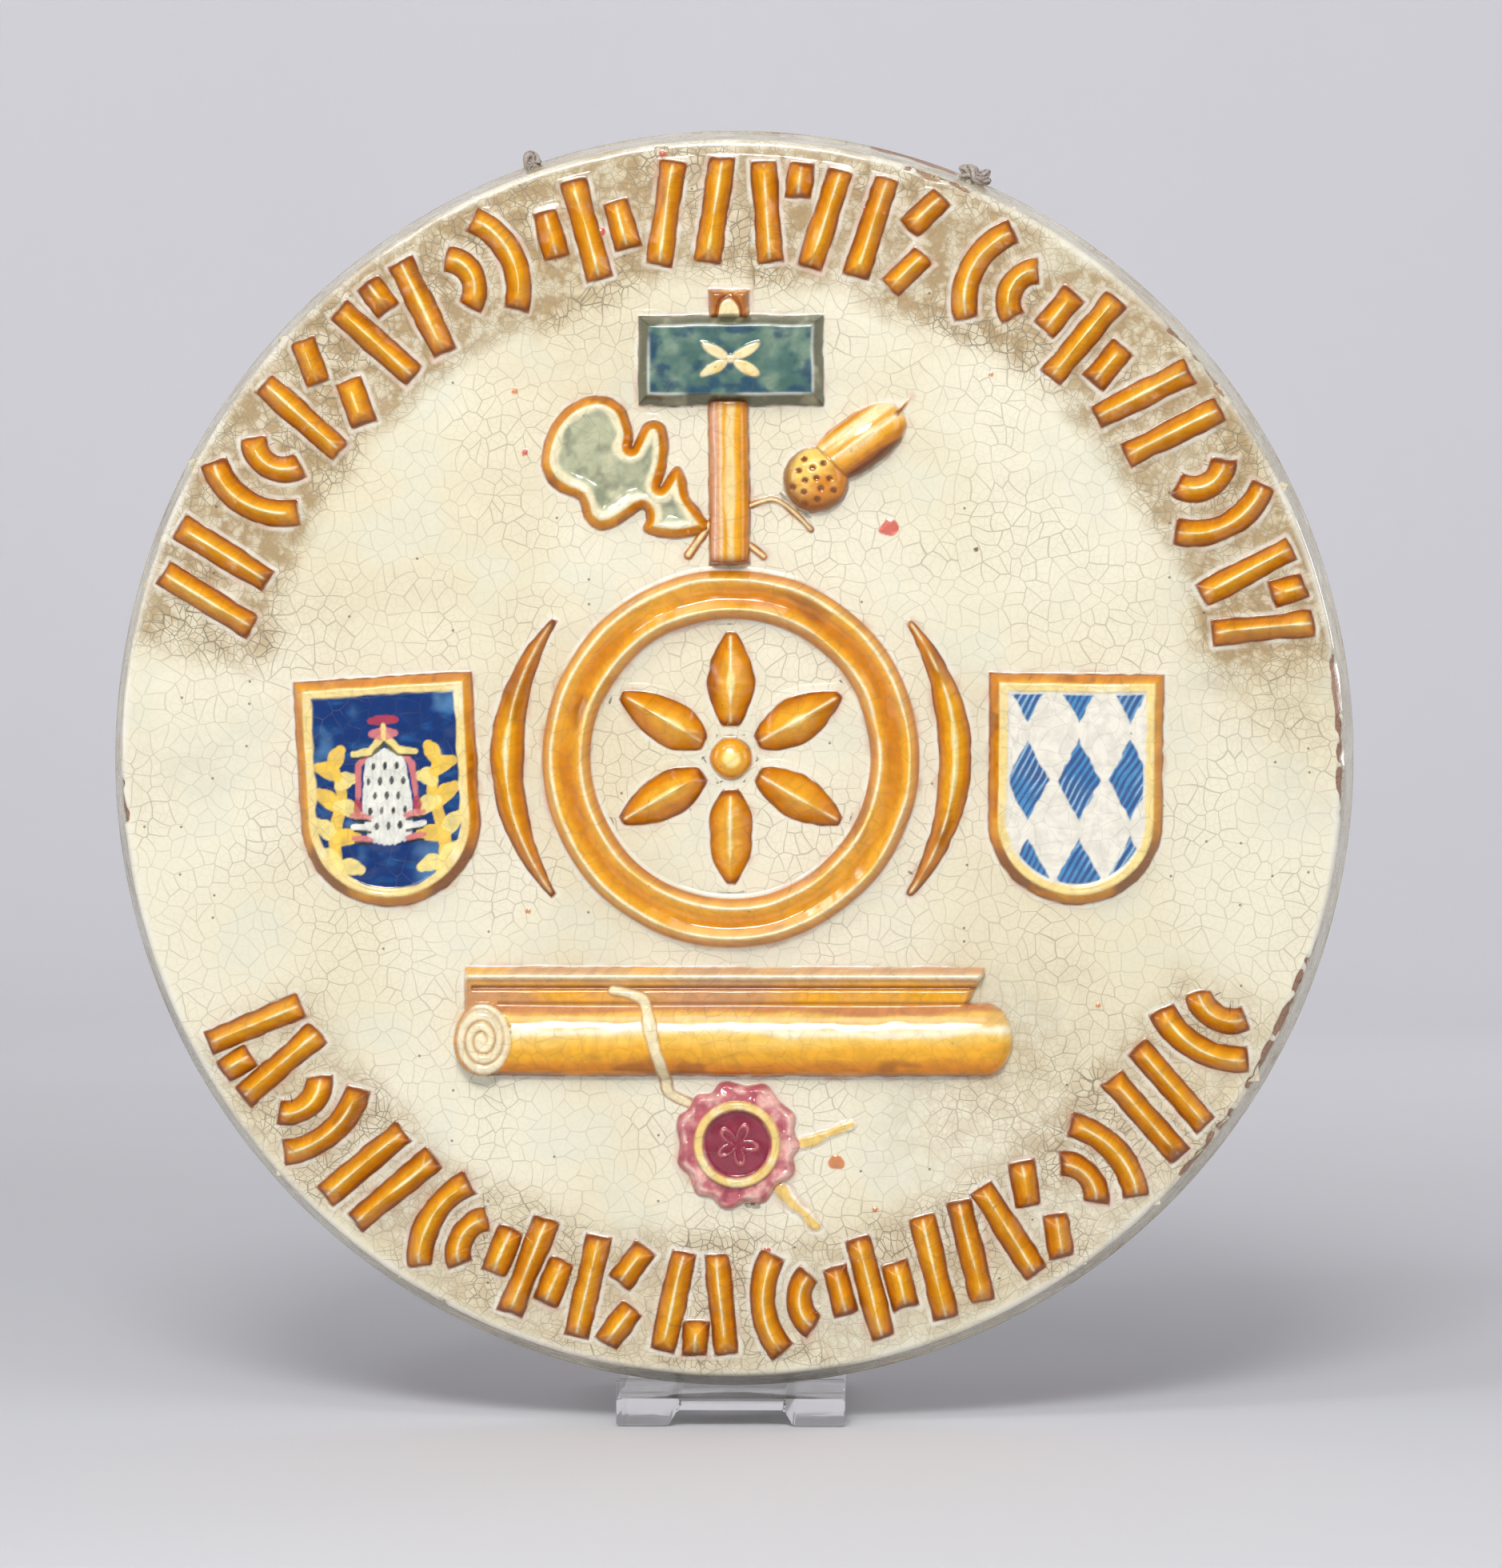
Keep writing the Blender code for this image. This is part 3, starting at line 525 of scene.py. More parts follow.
def emblem_meshes():
    """Ring, six petals, two crescents and a boss."""
    meshes = [ring_mesh()]
    for i in range(PETALS):
        turn = math.radians(30 + 360 / PETALS * i)
        points = [(r * math.cos(turn), r * math.sin(turn)) for r in np.linspace(*PETAL_REACH, 20)]
        meshes.append(stroke_mesh("petal", points, PETAL_HALF, EMBLEM_HEIGHT, 90 + i, PETAL_FADE))
    for i, middle in enumerate((0, 180)):
        points = arc((0, 0), CRESCENT_RADIUS, middle - CRESCENT_SPREAD, middle + CRESCENT_SPREAD, 40)
        meshes.append(stroke_mesh("crescent", points, CRESCENT_HALF, EMBLEM_HEIGHT, 97 + i, CRESCENT_FADE))
    meshes.append(field("boss", (0, 0), (BOSS_BOX, BOSS_BOX), 0.4, boss_shape))
    return meshes


# Hammer, leaf and acorn

SLATE, SLATE_PALE, NAVY = (0.070, 0.150, 0.125), (0.210, 0.300, 0.215), (0.012, 0.055, 0.115)
OLIVE, OLIVE_PALE = (0.080, 0.088, 0.050), (0.32, 0.32, 0.21)
HEAD_HIGHLIGHT, HEAD_FOOT, FLOWER_DEEP = (0.62, 0.66, 0.58), (0.03, 0.035, 0.025), (0.86, 0.56, 0.12)
CREAM_LINE = (0.86, 0.72, 0.40)
HAMMER_Z, HAMMER_HALF, HEAD_SLOPE, HEAD_HEIGHT = 122.3, (28.6, 13.9), 3.4, 6.3


def flower_distance(x, z):
    """A flat four-petalled flower in the hammer's middle."""
    best = np.full(np.shape(x), -9.0)
    for turn in (28, 152, 208, 332):
        a = math.radians(turn)
        centre = (5.6 * math.cos(a), HAMMER_Z + 5.6 * math.sin(a))
        best = np.maximum(best, ellipse_distance(x, z, centre, 4.9, 1.75, a))
    return np.maximum(best, ellipse_distance(x, z, (0, HAMMER_Z), 1.3, 1.3))


def head_shape(x, z):
    distance = np.minimum(HAMMER_HALF[0] - np.abs(x), HAMMER_HALF[1] - np.abs(z - HAMMER_Z))
    distance = distance + 0.3 * noise(x, z, 9, 101)
    flower = flower_distance(x, z) + 0.25 * noise(x, z, 3, 102)
    h = HEAD_HEIGHT * np.clip(distance / HEAD_SLOPE, 0, 1) ** 0.8 + 0.08 * ramp(-1.4, 0, distance)
    h = h + 0.5 * ramp(-0.3, 0.5, flower) + 0.12 * layered(x, z, 6, 103)
    rgb = mix(SLATE, SLATE_PALE, ramp(-0.35, 0.75, layered(x, z, 6, 104)))
    brims = 1 - ramp(HEAD_SLOPE, HEAD_SLOPE + 5.5, distance)
    low = ramp(HAMMER_Z + 6, HAMMER_Z - 10, z) * 0.25
    rgb = mix(rgb, NAVY, ramp(0.15, 0.75, layered(x * 0.8, z, 4.0, 105) + 0.40 * brims + low) * 0.80)
    rim = mix(OLIVE, OLIVE_PALE, ramp(0.1, 0.8, layered(x, z, 5, 106)))
    rgb = mix(rim, rgb, ramp(HEAD_SLOPE - 0.5, HEAD_SLOPE + 0.4, distance))
    # Painted highlight: a pale line round the edge where the head's bevel meets its face.
    rgb = mix(rgb, HEAD_HIGHLIGHT, 0.85 * bell(distance, HEAD_SLOPE, 0.45) * ramp(-0.4, 0.3, noise(x, z, 9, 108)))
    rgb = mix(rgb, HEAD_FOOT, 0.7 * (1 - ramp(0.1, 0.9, distance)))
    petal = mix(CREAM_LINE, FLOWER_DEEP, ramp(0.0, 0.6, layered(x, z, 3, 109)))
    rgb = mix(rgb, petal, ramp(-0.1, 0.35, flower))
    return distance, h, rgb, painted(distance, x, z, 107)


TIP, TIP_HALF, TIP_HEIGHT = (-0.6, 139.5), (6.3, 4.6), 3.8
TIP_DARK, TIP_PALE = (0.40, 0.12, 0.015), (0.66, 0.30, 0.05)


def tip_shape(x, z):
    """The handle's end above the head, with the wedge driven into it."""
    distance = np.minimum(TIP_HALF[0] - np.abs(x - TIP[0]), TIP_HALF[1] - np.abs(z - TIP[1]))
    distance = distance + 0.25 * noise(x, z, 4, 111)
    wedge = ellipse_distance(x, z, (TIP[0], 136.2), 3.4, 5.4) + 0.2 * noise(x, z, 2.5, 114)
    rise = np.clip(distance / 1.6, 0, 1)
    cut = bell(wedge, -0.35, 0.5)
    rgb = mix(TIP_DARK, TIP_PALE, ramp(0.0, 0.7, layered(x, z, 3, 115)))
    rgb = mix(rgb, CREAM_LINE, ramp(-0.1, 0.5, wedge))
    rgb = mix(rgb, POOLED, 0.7 * cut)
    return distance, TIP_HEIGHT * rise ** 0.7 - 1.1 * cut * rise, rgb, painted(distance, x, z, 113)


HANDLE_X, HANDLE_HALF, HANDLE_HEIGHT = -0.5, 6.4, 5.2
HANDLE_LOW, HANDLE_HIGH = 59.3, 110.5
HANDLE_PALE, HANDLE_PINK_REFLECTION, HANDLE_HIGHLIGHT = (0.88, 0.64, 0.28), (0.72, 0.47, 0.40), (0.90, 0.80, 0.62)


def handle_shape(x, z):
    u = (x - HANDLE_X - 0.35 * noise(0 * x, z, 15, 121)) / HANDLE_HALF
    ends = np.minimum(z - HANDLE_LOW, HANDLE_HIGH - z)
    distance = np.minimum(HANDLE_HALF * (1 - np.abs(u)), ends + 0.3 * noise(x, z, 4, 122))
    round_off = np.sqrt(np.clip(1 - np.abs(np.clip(u, -1, 1)) ** 2.6, 0, 1))
    h = HANDLE_HEIGHT * round_off * ramp(-0.2, 1.3, ends) + 0.08 * noise(x, z * 0.3, 3, 123)
    grain = layered(x, z * 0.16, 2.6, 124)
    rgb = mix(AMBER, GOLD, ramp(-0.9, -0.35, -np.abs(u - 0.05) + 0.25 * grain))
    rgb = mix(rgb, HANDLE_PALE, ramp(0.70, 0.96, 1 - np.abs(u - 0.08) + 0.25 * grain))
    # Painted reflection and highlight: a pinkish stripe and a pale line down the handle's left side.
    rgb = mix(rgb, HANDLE_PINK_REFLECTION, 0.75 * bell(u + 0.06 * grain, -0.66, 0.17))
    rgb = mix(rgb, HANDLE_HIGHLIGHT, 0.6 * bell(u + 0.05 * grain, -0.38, 0.07))
    rgb = mix(rgb, POOLED, ramp(0.84, 0.98, np.abs(u)) * 0.85)
    rgb = mix(rgb, POOLED, 0.8 * (1 - ramp(1.0, 4.0, ends)))
    return distance, h, rgb, painted(distance, x, z, 125)


LEAF_OUTLINE = [(-6.7, 71.7), (-9.1, 75.9), (-12.6, 80.8), (-14.0, 87.4), (-16.3, 90.1), (-18.7, 88.2),
                (-21.7, 83.5), (-20.0, 88.7), (-19.0, 95.6), (-20.2, 102.2), (-23.9, 104.2), (-27.3, 102.2),
                (-30.5, 95.6), (-30.0, 99.8), (-32.3, 107.1), (-36.7, 110.8), (-41.6, 111.8), (-49.0, 109.4),
                (-55.2, 103.0), (-58.4, 93.1), (-57.1, 86.5), (-52.7, 81.8), (-46.8, 79.3), (-45.3, 73.9),
                (-41.1, 70.4), (-36.2, 70.9), (-31.3, 73.9), (-27.1, 76.4), (-26.1, 73.4), (-27.3, 70.2),
                (-23.2, 68.2), (-15.8, 67.5), (-7.4, 69.5)]
LEAF_CREAM, LEAF_GREEN, LEAF_DARK = (0.84, 0.76, 0.50), (0.43, 0.45, 0.29), (0.17, 0.20, 0.13)
LEAF_SLOPE, LEAF_HEIGHT = 3.1, 4.1


def leaf_shape(x, z):
    distance = inside_distance(x, z, smooth(LEAF_OUTLINE, 3, True)) + 0.15 * noise(x, z, 4, 131)
    rise = np.clip(distance / LEAF_SLOPE, 0, 1)
    h = LEAF_HEIGHT * rise ** 0.75 + 0.35 * bell(distance, LEAF_SLOPE + 0.7, 0.9)
    h = h - 0.9 * ramp(LEAF_SLOPE + 1.0, LEAF_SLOPE + 4.5, distance) + 0.18 * layered(x, z, 5, 132)
    rgb = amber_glaze(rise * 0.60 + 0.06, x, z, 133)
    rgb = mix(rgb, LEAF_CREAM, ramp(LEAF_SLOPE - 0.5, LEAF_SLOPE + 0.1, distance))
    shade = ramp(0.05, 0.65, layered(x, z, 5.0, 134) + 0.3 * ramp(95, 80, z)) * 0.8
    wash = mix(mix(LEAF_GREEN, LEAF_DARK, shade), LEAF_CREAM, ramp(0.25, 0.9, layered(x, z, 9, 135)) * 0.55)
    inner = ramp(LEAF_SLOPE + 1.4, LEAF_SLOPE + 2.9, distance + 0.8 * noise(x, z, 5, 136))
    return distance, h, mix(rgb, wash, inner * 0.92), painted(distance, x, z, 137)


NUT, NUT_SIZE, NUT_TURN, NUT_HEIGHT, NUT_SQUARE = (39.4, 97.0), (16.2, 8.6), math.radians(35), 7.0, 2.3
CUP, CUP_RADIUS, CUP_HEIGHT = (26.2, 85.7), 10.2, 7.7
PITS, PIT_SPREAD, PIT_DEPTH = 13, 2.15, 0.55
SPIKE, SPIKE_HALF, SPIKE_HEIGHT = [(49.6, 104.3), (52.6, 107.4), (55.6, 111.4)], 1.3, 2.2
SKIN_SHADE, SKIN_LINE = (0.17, 0.040, 0.004), (0.84, 0.42, 0.04)
SKIN_HIGHLIGHT, SKIN_EDGE_HIGHLIGHT = (0.95, 0.84, 0.50), (0.95, 0.82, 0.44)
CUP_AMBER, CUP_PAINTED_LIGHT = (0.66, 0.23, 0.012), (0.95, 0.64, 0.15)
CUP_PAINTED_SHADE, PIT_BROWN = (0.22, 0.055, 0.007), (0.24, 0.065, 0.006)
SEAM_BROWN, SPIKE_BROWN = (0.30, 0.09, 0.01), (0.34, 0.10, 0.015)


def cup_pits(x, z):
    """The small dents in the acorn's cup, spread like a sunflower's seeds."""
    pits = np.zeros(np.shape(x))
    for k in range(PITS):
        turn, reach = math.radians(137.5 * k + 40), PIT_SPREAD * math.sqrt(k + 0.35)
        px, pz = CUP[0] + reach * math.cos(turn) - 0.8, CUP[1] + reach * math.sin(turn) - 0.6
        pits = np.maximum(pits, 1 - ramp(0.6, 1.25, np.hypot((x - px) * 0.85, z - pz)))
    return pits


def nut_colour(side):
    """The nut's colour across its length, partly its own and partly painted light: painted shade at the lower
    side, with two painted highlight streaks above.
    """
    skin = mix(SKIN_SHADE, AMBER, ramp(-0.80, -0.56, side))
    skin = mix(skin, GOLD, ramp(-0.52, -0.22, side))
    skin = mix(skin, SKIN_HIGHLIGHT, 0.95 * bell(side, 0.04, 0.13))
    skin = mix(skin, SKIN_LINE, 0.9 * bell(side, 0.28, 0.08))
    skin = mix(skin, SKIN_EDGE_HIGHLIGHT, 0.95 * bell(side, 0.52, 0.13))
    return mix(skin, AMBER, ramp(0.74, 0.90, side))


def acorn_shape(x, z):
    c, s = math.cos(NUT_TURN), math.sin(NUT_TURN)
    u = ((x - NUT[0]) * c + (z - NUT[1]) * s) / NUT_SIZE[0]
    v = (-(x - NUT[0]) * s + (z - NUT[1]) * c) / NUT_SIZE[1]
    nut_reach = 1 - (np.abs(u) ** NUT_SQUARE + np.abs(v) ** NUT_SQUARE) ** (1 / NUT_SQUARE)
    nut = NUT_HEIGHT * dome(nut_reach)
    px, pz = x - CUP[0], z - CUP[1]
    cup_reach = 1 - np.hypot(px, pz) / CUP_RADIUS
    cup = CUP_HEIGHT * dome(cup_reach) * (1 - 0.1 * ramp(0.2, 1, cup_reach))
    spike_near, spike_along = line_distance(x, z, SPIKE)
    spike_reach = SPIKE_HALF * (1.05 - spike_along) - spike_near
    distance = np.maximum(np.maximum(nut_reach * NUT_SIZE[1], cup_reach * CUP_RADIUS), spike_reach)
    in_cup = (cup > nut) | (cup_reach * 10 > 3.5)
    pits = cup_pits(x, z)
    h = np.where(in_cup, np.maximum(cup, 0), nut) - PIT_DEPTH * pits * in_cup * ramp(0, 0.15, cup_reach)
    h = np.maximum(h, SPIKE_HEIGHT * np.clip(spike_reach, 0, 1))
    # Painted light on the cup: lighter towards its upper left, and painted shade round its edge, widest at
    # the lower left.
    lit = px * -0.06 + pz * 0.08 + 0.5 * layered(x, z, 4, 142)
    bowl = mix(CUP_AMBER, CUP_PAINTED_LIGHT, ramp(-0.4, 0.5, lit))
    low_side = ramp(-0.4, 0.7, -(px + 1.4 * pz) / (1.7 * CUP_RADIUS))
    shaded_low_edge = 1 - ramp(0.0, 0.16 + 0.42 * low_side, cup_reach + 0.05 * layered(x, z, 3, 144))
    bowl = mix(mix(bowl, CUP_PAINTED_SHADE, shaded_low_edge * 0.95), PIT_BROWN, pits)
    rgb = np.where(in_cup[..., None], bowl, nut_colour(v + 0.22 * layered(u * 4, v * 16, 5, 141)))
    rgb = mix(rgb, SEAM_BROWN, 0.8 * bell(cup, nut, 0.5) * (np.minimum(cup, nut) > 0.5))
    spike = (spike_reach > 0) * ramp(0.0, 0.5, spike_reach) * ramp(0.12, 0.3, spike_along)
    return distance, h, mix(rgb, SPIKE_BROWN, spike), painted(distance, x, z, 143)


STALKS = [([(5.0, 77.3), (9.5, 79.0), (14.0, 79.4), (19.5, 75.6), (24.6, 70.4)], 0.95),
          ([(5.6, 65.6), (10.1, 62.1)], 1.2), ([(-6.2, 72.4), (-13.1, 62.6)], 1.5)]


def stalk_shape(x, z):
    best, share = np.full(np.shape(x), -9.0), np.zeros(np.shape(x))
    for points, half in STALKS:
        near, _ = line_distance(x, z, smooth(points, 5, False))
        best = np.maximum(best, half - near + 0.15 * noise(x, z, 3, 151))
        share = np.maximum(share, np.clip(1 - near / half, 0, 1))
    rgb = mix(amber_glaze(share * 0.6, x, z, 152), CREAM_LINE, ramp(0.35, 0.8, share))
    return best, 1.5 * np.sqrt(share), rgb, painted(best, x, z, 153)


# Shields

BORDER, BAND, SHIELD_HEIGHT, SHIELD_LONG = 3.2, 2.4, 4.9, 71.0
BAND_EDGE = BORDER + BAND
CORNER_BROWN, BAND_DEEP, BAND_PALE = (0.24, 0.065, 0.010), (0.88, 0.68, 0.27), (0.92, 0.80, 0.48)


def shield_outline(top_middle, width, tilt):
    half = width / 2
    base = [(x, z * 0.96 - SHIELD_LONG + half * 0.96) for x, z in arc((0, 0), half, 180, 360, 28)]
    turn = Matrix.Rotation(math.radians(tilt), 2)
    return [tuple(turn @ Vector(p) + Vector(top_middle)) for p in [(half, 0), (-half, 0)] + base]


def shield_frame(x, z, outline, seed):
    """Distance, height and colour of a shield's sloped border and flat band; the field inside is sunk."""
    distance = inside_distance(x, z, outline) + 0.2 * noise(x, z, 7, seed)
    rise = np.clip(distance / BORDER, 0, 1)
    h = SHIELD_HEIGHT * rise ** 0.85 + 0.08 * ramp(-1.4, 0, distance) + 0.06 * layered(x, z, 5, seed + 1)
    h = h + 0.25 * bell(distance, BORDER + 0.5, 0.6) - 0.55 * ramp(BAND_EDGE - 0.4, BAND_EDGE + 0.5, distance)
    rgb = amber_glaze(0.22 + rise * 0.40, x, z, seed + 2)
    middle = np.mean(np.array(outline), axis=0)
    corners = np.hypot((np.abs(x - middle[0]) - 22) / 9, (z - middle[1] + 7) / 12)
    rgb = mix(rgb, CORNER_BROWN, 0.9 * (1 - ramp(0.7, 1.25, corners + 0.35 * noise(x, z, 6, seed + 8))))
    rgb = mix(rgb, POOLED, 0.8 * (1 - ramp(0.1, 0.8, distance)))
    band = mix(BAND_DEEP, BAND_PALE, ramp(-0.1, 0.6, layered(x, z, 7, seed + 9)))
    return distance, h, mix(rgb, band, ramp(BORDER - 0.45, BORDER + 0.05, distance))


def brushed(rgb, x, z, strokes, seed):
    """Brush strokes laid over a ground: each has its points, width, and colour."""
    for k, (points, width, colour) in enumerate(strokes):
        near, along = line_distance(x, z, points)
        press = 0.75 + 0.45 * np.sin(math.pi * np.clip(along, 0.02, 0.98))
        reach = width / 2 * press - near + 0.22 * noise(x, z, 1.7, seed + k)
        load = ramp(-0.18, 0.18, reach) * (0.90 + 0.12 * noise(x, z, 2.4, seed + k + 50))
        rgb = mix(rgb, colour, np.clip(load, 0, 1))
    return rgb


YELLOW, YELLOW_PALE = (0.90, 0.58, 0.08), (0.92, 0.74, 0.25)
PINK, ROSE = (0.68, 0.20, 0.19), (0.45, 0.05, 0.08)
WHITE, TICK = (0.80, 0.79, 0.70), (0.02, 0.025, 0.02)
COBALT, COBALT_PALE, COBALT_WASH = (0.002, 0.030, 0.155), (0.020, 0.150, 0.38), (0.10, 0.26, 0.48)
LEFT_TOP, LEFT_WIDTH, LEFT_TILT = (-107.5, 25.2), 55.5, 3.3
RIGHT_TOP, RIGHT_WIDTH, RIGHT_TILT = (106.4, 26.0), 53.7, -0.6
SPRAY_STEM = ((8, -31), (15, -26), (17, -14), (14, 0), (16, 10))
# Foot and tip of each leaf of the spray
SPRAY_LEAVES = ((14, -28, 21, -31), (16, -22, 21, -17), (16, -22, 9.5, -23), (17, -13, 22, -8),
                (17, -14, 10, -13), (15, -4, 21, 1), (15, -3, 9.5, -6), (14.5, 3, 10.5, 5),
                (15, 6, 20.5, 9), (16, 9, 13.5, 14))


def spray(side):
    """A leafy yellow spray on one side of the left shield's middle."""
    strokes = [(smooth([(side * u, v) for u, v in SPRAY_STEM], 5, False), 3.2, YELLOW)]
    for ax, az, bx, bz in SPRAY_LEAVES:
        colour = YELLOW_PALE if (ax + bz) % 2 else YELLOW
        bend = (side * (ax + bx) / 2, (az + bz) / 2 + 0.8)
        strokes.append(([(side * ax, az), bend, (side * bx, bz)], 4.3, colour))
    return strokes


def left_painting():
    """Brush strokes of the left shield's field: leafy sprays around a bell-shaped panel with a small cap."""
    strokes = spray(-1) + spray(1)
    for k in range(9):
        x = -6.4 + 1.6 * k
        sag = 9 - 0.06 * x * x
        strokes.append(([(x * 0.8, sag + 4), (x, -4), (x * 0.92, -15 + 0.04 * x * x)], 2.3, WHITE))
    for side in (-1, 1):
        strokes.append(([(side * 4, 14), (side * 8.2, 9), (side * 9, -2)], 1.7, PINK))
        strokes.append(([(side * 9, -2), (side * 9.3, -6)], 2.3, ROSE))
        for z in (-7, -10.5, -14):
            strokes.append(([(side * 5.5, z), (side * 11, z + 0.8)], 1.9, PINK if z != -10.5 else WHITE))
            strokes.append(([(side * 5.5, z - 1.2), (side * 10.5, z - 0.6)], 0.9, TICK))
    strokes.append(([(-9.5, 12.5), (-4, 13.2), (0, 17.5), (4, 13.2), (9.5, 12.5)], 2.6, YELLOW_PALE))
    strokes.append(([(-9.8, 11.2), (-4, 11.8), (0, 15.6), (4, 11.8), (9.8, 11.2)], 0.9, TICK))
    strokes.append(([(-3.2, 18.4), (3.2, 18.4)], 3.4, PINK))
    strokes.append(([(-3.8, 22.6), (3.8, 22.6)], 2.6, ROSE))
    strokes.append(([(0, 17), (0, 21)], 1.4, YELLOW_PALE))
    for row in range(5):
        for k in range(3 + row % 2):
            x, z = (k - (2 + row % 2) / 2) * 3.6, 8.5 - 4.6 * row
            strokes.append(([(x, z + 0.8), (x - 0.2, z - 0.8)], 1.1, TICK))
    return strokes


def left_shield(x, z):
    distance, h, rgb = shield_frame(x, z, shield_outline(LEFT_TOP, LEFT_WIDTH, LEFT_TILT), 161)
    turn = math.radians(-LEFT_TILT)
    px, pz = x - LEFT_TOP[0] - 1.8, z - LEFT_TOP[1] + 36
    u, v = px * math.cos(turn) - pz * math.sin(turn), px * math.sin(turn) + pz * math.cos(turn)
    ground = mix(COBALT, COBALT_PALE, ramp(0.0, 0.8, layered(u * 0.35, v, 2.4, 162)) * 0.5)
    washed = ramp(0.0, 0.6, layered(u, v, 9, 166) + 0.5 * ramp(-6, -24, v) - 0.2) * ramp(5, 12, np.abs(u))
    picture = brushed(mix(ground, COBALT_WASH, 0.75 * washed), u, v, left_painting(), 170)
    inner = ramp(BAND_EDGE - 0.3, BAND_EDGE + 0.3, distance + 0.5 * noise(x, z, 4, 163))
    return distance, h, mix(rgb, picture, inner), painted(distance, x, z, 164)


LOZENGE_STEP, LOZENGE_HALF, LOZENGE_MIDDLE = (15.7, 29.9), (6.7, 12.6), (106.9, -6.7)
LOZENGE_BLUE, LOZENGE_PALE, LOZENGE_GAP = (0.004, 0.060, 0.235), (0.060, 0.250, 0.500), (0.42, 0.55, 0.62)
OFF_WHITE, OFF_WHITE_DEEP = (0.80, 0.76, 0.65), (0.74, 0.69, 0.56)
HATCH_STEP = 1.9


def right_shield(x, z):
    distance, h, rgb = shield_frame(x, z, shield_outline(RIGHT_TOP, RIGHT_WIDTH, RIGHT_TILT), 181)
    column = np.clip(np.round((x - LOZENGE_MIDDLE[0]) / LOZENGE_STEP[0]), -1, 1)
    row = np.round((z - LOZENGE_MIDDLE[1]) / LOZENGE_STEP[1])
    u = np.abs(x - LOZENGE_MIDDLE[0] - column * LOZENGE_STEP[0]) / LOZENGE_HALF[0]
    v = np.abs(z - LOZENGE_MIDDLE[1] - row * LOZENGE_STEP[1]) / LOZENGE_HALF[1]
    hatch = np.sin((x * 0.86 - z * 0.5 + 0.5 * noise(x, z, 6, 182)) / HATCH_STEP * math.tau)
    blue = mix(LOZENGE_BLUE, LOZENGE_PALE, ramp(-0.6, 0.6, hatch + 0.5 * noise(x, z, 5, 184)))
    gaps = ramp(0.55, 0.95, hatch) * ramp(-0.2, 0.4, noise(x, z, 8, 188))
    blue = mix(blue, LOZENGE_GAP, 0.8 * gaps)
    cover = ramp(-0.03, 0.07, 1 - u - v + 0.06 * noise(x, z, 2.0, 183)) * (0.97 + 0.03 * hatch)
    cover = cover * ramp(BAND_EDGE + 0.5, BAND_EDGE + 1.1, distance)
    off_white = mix(OFF_WHITE, OFF_WHITE_DEEP, ramp(0.1, 0.9, layered(x, z, 12, 185)) * 0.3)
    inner = ramp(BAND_EDGE - 0.3, BAND_EDGE + 0.3, distance + 0.3 * noise(x, z, 4, 186))
    return distance, h, mix(rgb, mix(off_white, blue, cover), inner), painted(distance, x, z, 187)


# Scroll with its ribbon, and the seal

ROLL_Z, ROLL_HALF, ROLL_HEIGHT, ROLL_LEFT, ROLL_RIGHT = -86.6, 11.3, 8.4, -76.2, 77.5
END_HALF, END_HEIGHT, COIL_TURNS = (9.0, 11.4), 7.6, 3.4
SHEET_LEFT, SHEET_RIGHT, SHEET_TOP, SHEET_HEIGHT = -82.0, 78.2, -64.3, 3.5
FLAP_Z, FLAP_HALF, FLAP_HEIGHT = -67.0, 2.9, 5.5
RIBBON = [(-36.2, -71.3), (-27.6, -73.6), (-25.4, -79.0), (-23.4, -88.5), (-20.4, -97.6), (-18.9, -103.0),
          (-12.8, -106.4)]
RIBBON_HALF, RIBBON_CREAM, RIBBON_EDGE = 2.1, (0.86, 0.74, 0.46), (0.50, 0.24, 0.06)
ROLL_DARK, ROLL_AMBER, ROLL_GOLD = (0.22, 0.05, 0.005), (0.78, 0.26, 0.004), (0.88, 0.42, 0.012)
ROLL_YELLOW, ROLL_HIGHLIGHT = (0.90, 0.56, 0.10), (0.95, 0.88, 0.64)
ROLL_OCHRE, ROLL_BROWN = (0.80, 0.48, 0.17), (0.58, 0.24, 0.09)
END_CREAM, END_GROOVE = (0.88, 0.77, 0.50), (0.55, 0.27, 0.07)
END_PALE, END_BROWN = (0.87, 0.80, 0.58), (0.52, 0.19, 0.03)
SHEET_BROWN, SHEET_PALE, SHEET_GROOVE = (0.60, 0.30, 0.12), (0.92, 0.84, 0.58), (0.24, 0.06, 0.01)


def roll_end(x, z):
    """The roll's left end: the share of its radius, the groove of its coil, and its colour."""
    du, dv = (x - ROLL_LEFT) / END_HALF[0], (z - ROLL_Z) / END_HALF[1]
    radius = np.hypot(du, dv)
    coil = np.mod(radius * COIL_TURNS - np.arctan2(dv, du) / math.tau, 1.0)
    groove = bell(coil, 0.5, 0.16) * ramp(0.08, 0.2, radius)
    rgb = mix(END_CREAM, END_GROOVE, groove * 0.8)
    rgb = mix(rgb, END_PALE, 0.5 * bell(radius, 0.80, 0.08))
    left_part = ramp(0.1, -0.5, du + 0.25 * noise(x, z, 7, 199))
    return radius, groove, mix(rgb, END_BROWN, 0.85 * left_part * ramp(0.84, 0.95, radius))


